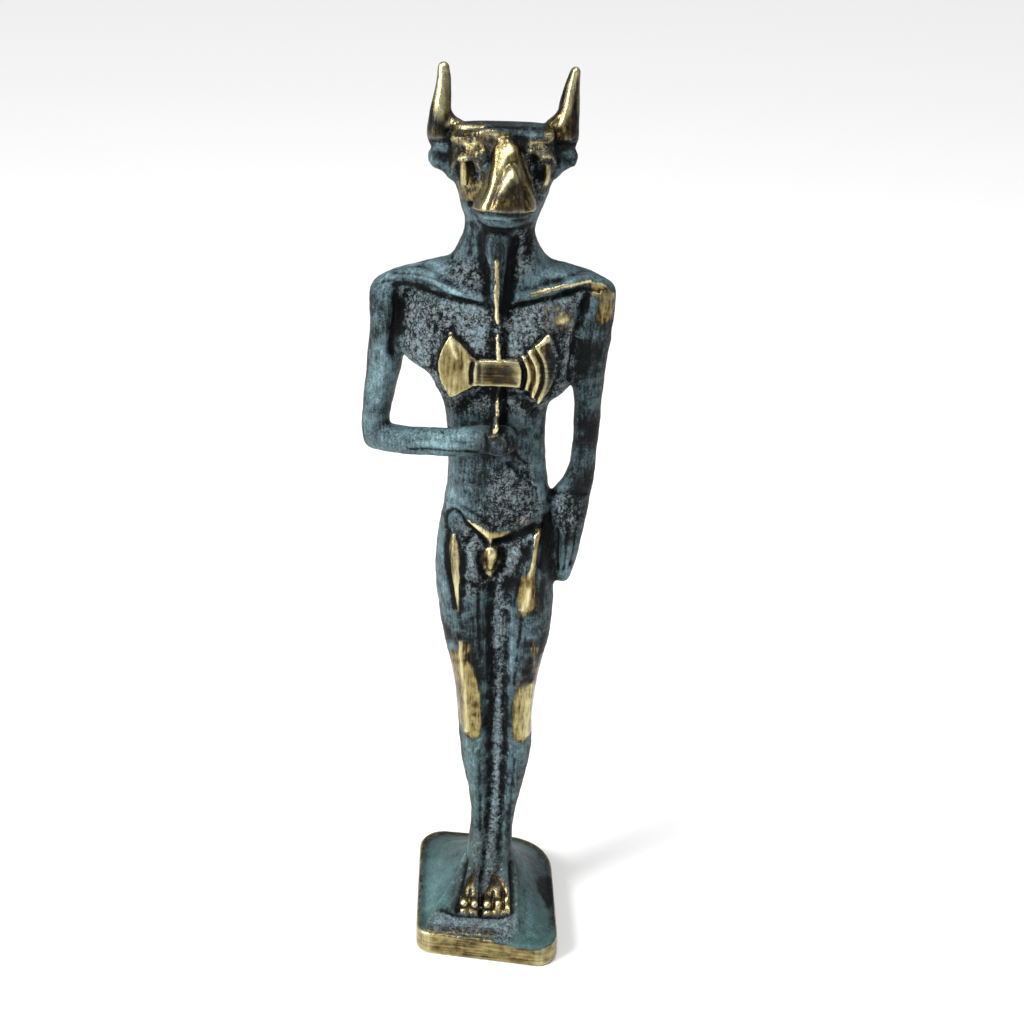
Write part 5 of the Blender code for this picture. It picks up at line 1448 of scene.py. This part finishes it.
    # The metal's bright layer is painted highlight along its burnished ridges
    metal = shades["hollow"]
    for limits, layer in (
        ((shade, 0, 0.34), shades["brown_bronze"]),
        ((shade, 0.28, 0.80), shades["bronze"]),
        ((burnish_and_highlight, 0, 1), shades["bright_bronze"]),
    ):
        metal = add(tree, MIX, COLOURS, {0: add(tree, RAMP, {}, limits), 6: metal, 7: layer})
    surface = add(tree, MIX, COLOURS, {0: bare, 6: skin, 7: metal})

    # Waxed patina is satin, and bared metal shines along its marks
    gleam = add(tree, MATH, TIMES_PLUS, (bare, 0.80, 0.18))
    shine = add(tree, MATH, TIMES, (gleam, add(tree, RAMP, {}, (shade, 0, 0.3, 0.5, 1))))
    satin = add(tree, RAMP, {}, (tone, 0.1, 0.9, 0.44, 0.54))
    satin = add(tree, MATH, TIMES_PLUS, (rough, 0.08, satin))
    polish = add(tree, RAMP, {}, (marks, 0.3, 0.7, 0.32, 0.18))
    gloss = add(tree, MIX, {}, {0: bare, 2: satin, 3: polish})
    sheen = add(tree, RAMP, {}, (tone, 0, 0.5, 0.12, 0.5))

    # Relief: each pattern's height on smooth skin, and how much more of it there is on rough skin
    relief = 0
    for mask, smooth, more in (
        (granules, 0.35, 1.6),
        (grit, 0.10, 0.6),
        (patches, 0.7, 0),
        (cracks, -0.08, -0.30),
        (marks, 0.30, 0),
    ):
        amount = add(tree, MATH, TIMES_PLUS, (rough, more, smooth))
        relief = add(tree, MATH, TIMES_PLUS, (mask, amount, relief))
    strength = add(tree, MATH, TIMES_PLUS, (bare, -0.75, 1))
    raised = {"Strength": strength, "Distance": 0.00055, "Height": relief}
    for name, node in (
        ("Base Color", surface),
        ("Metallic", shine),
        ("Roughness", gloss),
        ("Specular IOR Level", sheen),
        ("Normal", add(tree, "ShaderNodeBump", {}, raised)),
    ):
        result = next(output for output in node.outputs if output.enabled)
        tree.links.new(result, shader.inputs[name])
    return material


def roughened(mesh, sizes):
    """Writes where the mould's lumps and the waves of hand modelling show."""
    points = (points_of(mesh) - stand(sizes)) / (sizes.figure_height / STATIONS)
    normals = normals_of(mesh)
    z = points[:, 2]
    rough = spread_over(points, normals, ROUGH_PATCHES, [], 2.6) * (z > -0.4)
    rough = np.clip(rough, 0.10 * (z > 8), 1)
    rubbed = np.clip(outlined(points, normals, RUBBED_PATCHES, []) + 0.5, 0, 1)
    write_layer(mesh, "rough", rough * (1 - rubbed))
    head = np.clip((z - 140) / 4, 0, 1)
    low = np.clip((20 - z) / 8, 0, 1)
    uneven = (1 - 0.75 * rubbed) * (1 - 0.55 * head) * (1 - 0.65 * low)
    write_layer(mesh, "uneven", uneven * (z > -0.2))


def worn_bronze(points, normals, outline):
    """How deep each point lies in bare bronze, in stations, below nothing in the patina."""
    x, y, z = points.T
    worn = outlined(points, normals, RUBBED_PATCHES, RUBBED_LINES)
    for side, level, patch in FLECKED_PATCHES:
        worn = np.maximum(worn, np.minimum(outlined(points, normals, [(side, patch)], []), level))
    # The horns are bare from their roots up
    root = np.where(x < 0, 153.2, 153.8)
    horns = (np.abs(x) > 7.6) & (z > 153)
    worn = np.where(horns, np.maximum(worn, np.clip((z - root) * 0.5, -2, 2)), worn)
    # The plinth's sides are filed bare, but for the patina that ran over the front near one corner
    spilt = np.clip(1.3 - np.abs(x - 8) / 5.5, 0, 1) * (y < -14) * 0.9
    worn = np.where(z < 0.3, np.maximum(worn, np.clip((-z - 0.05 - spilt) * 1.6, -2, 2)), worn)
    # The plinth's upper rim is bare too, wider towards the rear
    rim = 0.2 + 0.9 * np.clip((y - 6) / 8, 0, 1)
    inward = depth_in(points[:, :2], outline)
    worn = np.where(z < 1.5, np.maximum(worn, np.clip((rim - inward - spilt) * 1.5, -2, 2)), worn)
    underside = (normals[:, 2] < -0.9) & (z < -4.6)
    return np.where(underside, -0.4, worn)


def dressed_layers(mesh, sizes):
    """Writes where the finished skin is worn, dark (mostly painted shade), pale and bright (mostly painted
    light), and brown.
    """
    station = sizes.figure_height / STATIONS
    points = (points_of(mesh) - stand(sizes)) / station
    normals = normals_of(mesh)
    edges = neighbours_of(mesh)
    z = points[:, 2]
    outline = (plinth_outline(sizes) - stand(sizes)[:2]) / station
    write_layer(mesh, "worn", worn_bronze(points, normals, outline))
    dark = spread_over(points, normals, DARK_PATCHES, [], 0.3)
    pale = np.zeros(len(points))
    # Painted shade and painted light along the tone lines, with some of the patina's own darker and paler
    # tone
    for side, strength, width, line in TONES:
        share = spread_over(points, normals, [], [(side, width / 2, line)], width)
        if strength > 0:
            dark = np.maximum(dark, strength * share)
        else:
            pale = np.maximum(pale, -strength * share)
    # Dark in the hollows, narrow and wide: partly the black patina that stays there, partly painted shade
    # where less light falls; less so on the mound and the head. Painted shade also darkens the flanks, where
    # the skin turns to the sides
    narrow = ((blurred(points, edges, 8) - points) * normals).sum(axis=1)
    wide = ((blurred(points, edges, 30) - points) * normals).sum(axis=1)
    hollow = np.clip(narrow * 4.5, -0.12, 0.5) + np.clip(wide * 1.4, -0.08, 0.45)
    hollow *= 0.25 + 0.75 * np.clip((z - 4) / 6, 0, 1)
    hollow *= 1 - 0.6 * np.clip((z - 142) / 4, 0, 1)
    # Painted shade on the flanks, where the skin turns to the sides
    flanks = np.clip(np.abs(normals[:, 0]) - 0.75, 0, 0.25) * 2 * (z > 12)
    # The dark layer: the black chip, painted shade in hollows, creases and on the flanks, and some darker
    # patina
    write_layer(mesh, "dark", blurred(np.clip(dark + hollow + flanks, 0, 1), edges, 1)[:, 0])
    # The pale layer is mostly painted light on lit ridges and slopes
    write_layer(mesh, "pale", blurred(pale, edges, 2)[:, 0])
    # Sharp ridges are burnished and painted near white as their highlights, less so on the plinth and the
    # head
    bright = np.clip((-narrow - 0.06) / 0.16, 0, 0.7) * np.where((z < -0.4) | (z > 143), 0.5, 1)
    # The listed lines add painted highlights along burnished ridges
    for side, strength, width, line in BURNISHED_AND_HIGHLIGHTS:
        share = spread_over(points, normals, [], [(side, width / 2, line)], width)
        bright = np.maximum(bright, strength * share)
    write_layer(mesh, "bright", blurred(bright, edges, 1)[:, 0])
    write_layer(mesh, "brown", spread_over(points, normals, BROWN_PATCHES, [], 1.2))


class STATUETTE_OT_cast(bpy.types.Operator):
    """Casts, chases and patinates the statuette"""

    bl_idname = "statuette.cast"
    bl_label = "Cast Statuette"

    def execute(self, context):
        sizes = context.scene.statuette_sizes
        material = patinated_bronze(context.scene.bronze_finish)
        mesh = casting(sizes, masses(sizes))
        chased(mesh, sizes)
        roughened(mesh, sizes)
        obj = in_scene("statuette", mesh)
        skin = obj.modifiers.new("Mould skin", "NODES")
        skin.node_group = skin_tree(material)
        values = {
            "Lump Size": sizes.skin_size,
            "Lump Height": sizes.skin_depth,
            "Wave Size": sizes.wave_size,
            "Wave Height": sizes.wave_depth,
            "Seed": sizes.skin_seed,
        }
        for item in skin.node_group.interface.items_tree:
            if item.in_out == "INPUT" and item.name in values:
                skin[item.identifier] = values[item.name]
        thin = obj.modifiers.new("Thin out", "DECIMATE")
        thin.ratio = min(1.0, sizes.triangles / (2 * len(mesh.polygons)))
        finished = baked(obj)
        obj.modifiers.clear()
        obj.data = finished
        finished.name = "statuette"
        ground = points_of(finished)
        ground[:, 2] = np.where(ground[:, 2] < GRINDING, 0, ground[:, 2])
        write_points(finished, ground)
        finished.polygons.foreach_set("use_smooth", np.ones(len(finished.polygons), bool))
        dressed_layers(finished, sizes)
        if not finished.polygons:
            raise RuntimeError("the statuette has no surface")
        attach(obj, "root")
        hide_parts("minotaur_statuette")
        return {"FINISHED"}


class STATUETTE_OT_stage(bpy.types.Operator):
    """Sets up the pale floor, the soft lamps and the camera"""

    bl_idname = "statuette.stage"
    bl_label = "Set Stage"

    def execute(self, context):
        scene = context.scene
        stage = scene.studio_stage
        half = stage.floor_size / 2
        corners = [(-half, -half, 0), (half, -half, 0), (half, half, 0), (-half, half, 0)]
        mesh = bpy.data.meshes.new("floor")
        mesh.from_pydata(corners, [], [(0, 1, 2, 3)])
        floor = in_scene("floor", mesh)
        # Matt painted board, which gives a soft contact shadow and no gloss
        matt = bpy.data.materials.new("matt_floor")
        matt.use_nodes = True
        board = matt.node_tree.nodes["Principled BSDF"]
        board.inputs["Base Color"].default_value = (*stage.floor_colour, 1)
        board.inputs["Roughness"].default_value = 0.9
        mesh.materials.append(matt)

        sun = bpy.data.lights.new("key_lamp", "SUN")
        sun.energy = stage.key_strength
        sun.angle = math.radians(20)
        self.aimed(scene, "key_lamp", sun, (-0.62, -0.42, 0.72))
        # Soft panels: place, width in metres and power in watts
        panels = [
            ("left_panel", (-0.50, -0.30, 0.30), 0.30, 2.2),
            ("top_panel", (0.10, -0.20, 0.80), 0.40, 3.0),
        ]
        for name, at, size, power in panels:
            lamp = bpy.data.lights.new(name, "AREA")
            lamp.size = size
            lamp.energy = power
            self.aimed(scene, name, lamp, at)

        world = bpy.data.worlds.new("soft_room")
        world.use_nodes = True
        sky = world.node_tree.nodes["Background"]
        sky.inputs[0].default_value = (*linear("#eef1f4"), 1)
        sky.inputs[1].default_value = stage.room_strength
        scene.world = world
        # Plain tones, as a camera gives them, with no film curve
        scene.view_settings.view_transform = "Standard"

        lens = bpy.data.cameras.new("camera")
        lens.sensor_fit = "HORIZONTAL"
        lens.sensor_width = 36
        lens.lens = stage.lens
        lens.clip_start = 0.01
        camera = bpy.data.objects.new("camera", lens)
        scene.collection.objects.link(camera)
        ahead = Vector((0, math.cos(stage.pitch), -math.sin(stage.pitch)))
        level_up = Vector((0, math.sin(stage.pitch), math.cos(stage.pitch)))
        right = math.cos(stage.roll) * Vector((1, 0, 0)) + math.sin(stage.roll) * level_up
        up = math.cos(stage.roll) * level_up - math.sin(stage.roll) * Vector((1, 0, 0))
        turn = Matrix((right, up, -ahead)).transposed().to_4x4()
        camera.matrix_world = Matrix.Translation(Vector(stage.camera_place)) @ turn
        scene.camera = camera
        return {"FINISHED"}

    def aimed(self, scene, name, lamp, at):
        """A lamp that points at the figure's middle."""
        holder = bpy.data.objects.new(name, lamp)
        scene.collection.objects.link(holder)
        holder.location = at
        aim = Vector((0, 0, 0.08)) - Vector(at)
        holder.rotation_euler = aim.to_track_quat("-Z", "Y").to_euler()


class STATUETTE_PT_panel(bpy.types.Panel):
    """Lists the statuette's operators"""

    bl_label = "Statuette"
    bl_idname = "STATUETTE_PT_panel"
    bl_space_type = "VIEW_3D"
    bl_region_type = "UI"
    bl_category = "Statuette"

    def draw(self, context):
        layout = self.layout
        layout.operator("statuette.cast")
        layout.operator("statuette.stage")
        layout.prop(context.scene.statuette_sizes, "figure_height")
        layout.prop(context.scene.bronze_finish, "patina")


# Where the casting is ground flat underneath, in metres
GRINDING = 0.00012

CLASSES = (
    StatuetteSizes,
    BronzeFinish,
    StudioStage,
    STATUETTE_OT_cast,
    STATUETTE_OT_stage,
    STATUETTE_PT_panel,
)


def register():
    """Makes the sizes, colours, operators and panel known."""
    for cls in CLASSES:
        bpy.utils.register_class(cls)
    bpy.types.Scene.statuette_sizes = bpy.props.PointerProperty(type=StatuetteSizes)
    bpy.types.Scene.bronze_finish = bpy.props.PointerProperty(type=BronzeFinish)
    bpy.types.Scene.studio_stage = bpy.props.PointerProperty(type=StudioStage)


def unregister():
    """Takes them out again."""
    del bpy.types.Scene.studio_stage
    del bpy.types.Scene.bronze_finish
    del bpy.types.Scene.statuette_sizes
    for cls in reversed(CLASSES):
        bpy.utils.unregister_class(cls)


def main():
    """Builds the statuette and its stage."""
    register()
    bpy.ops.statuette.cast()
    bpy.ops.statuette.stage()


if __name__ == "__main__":
    main()
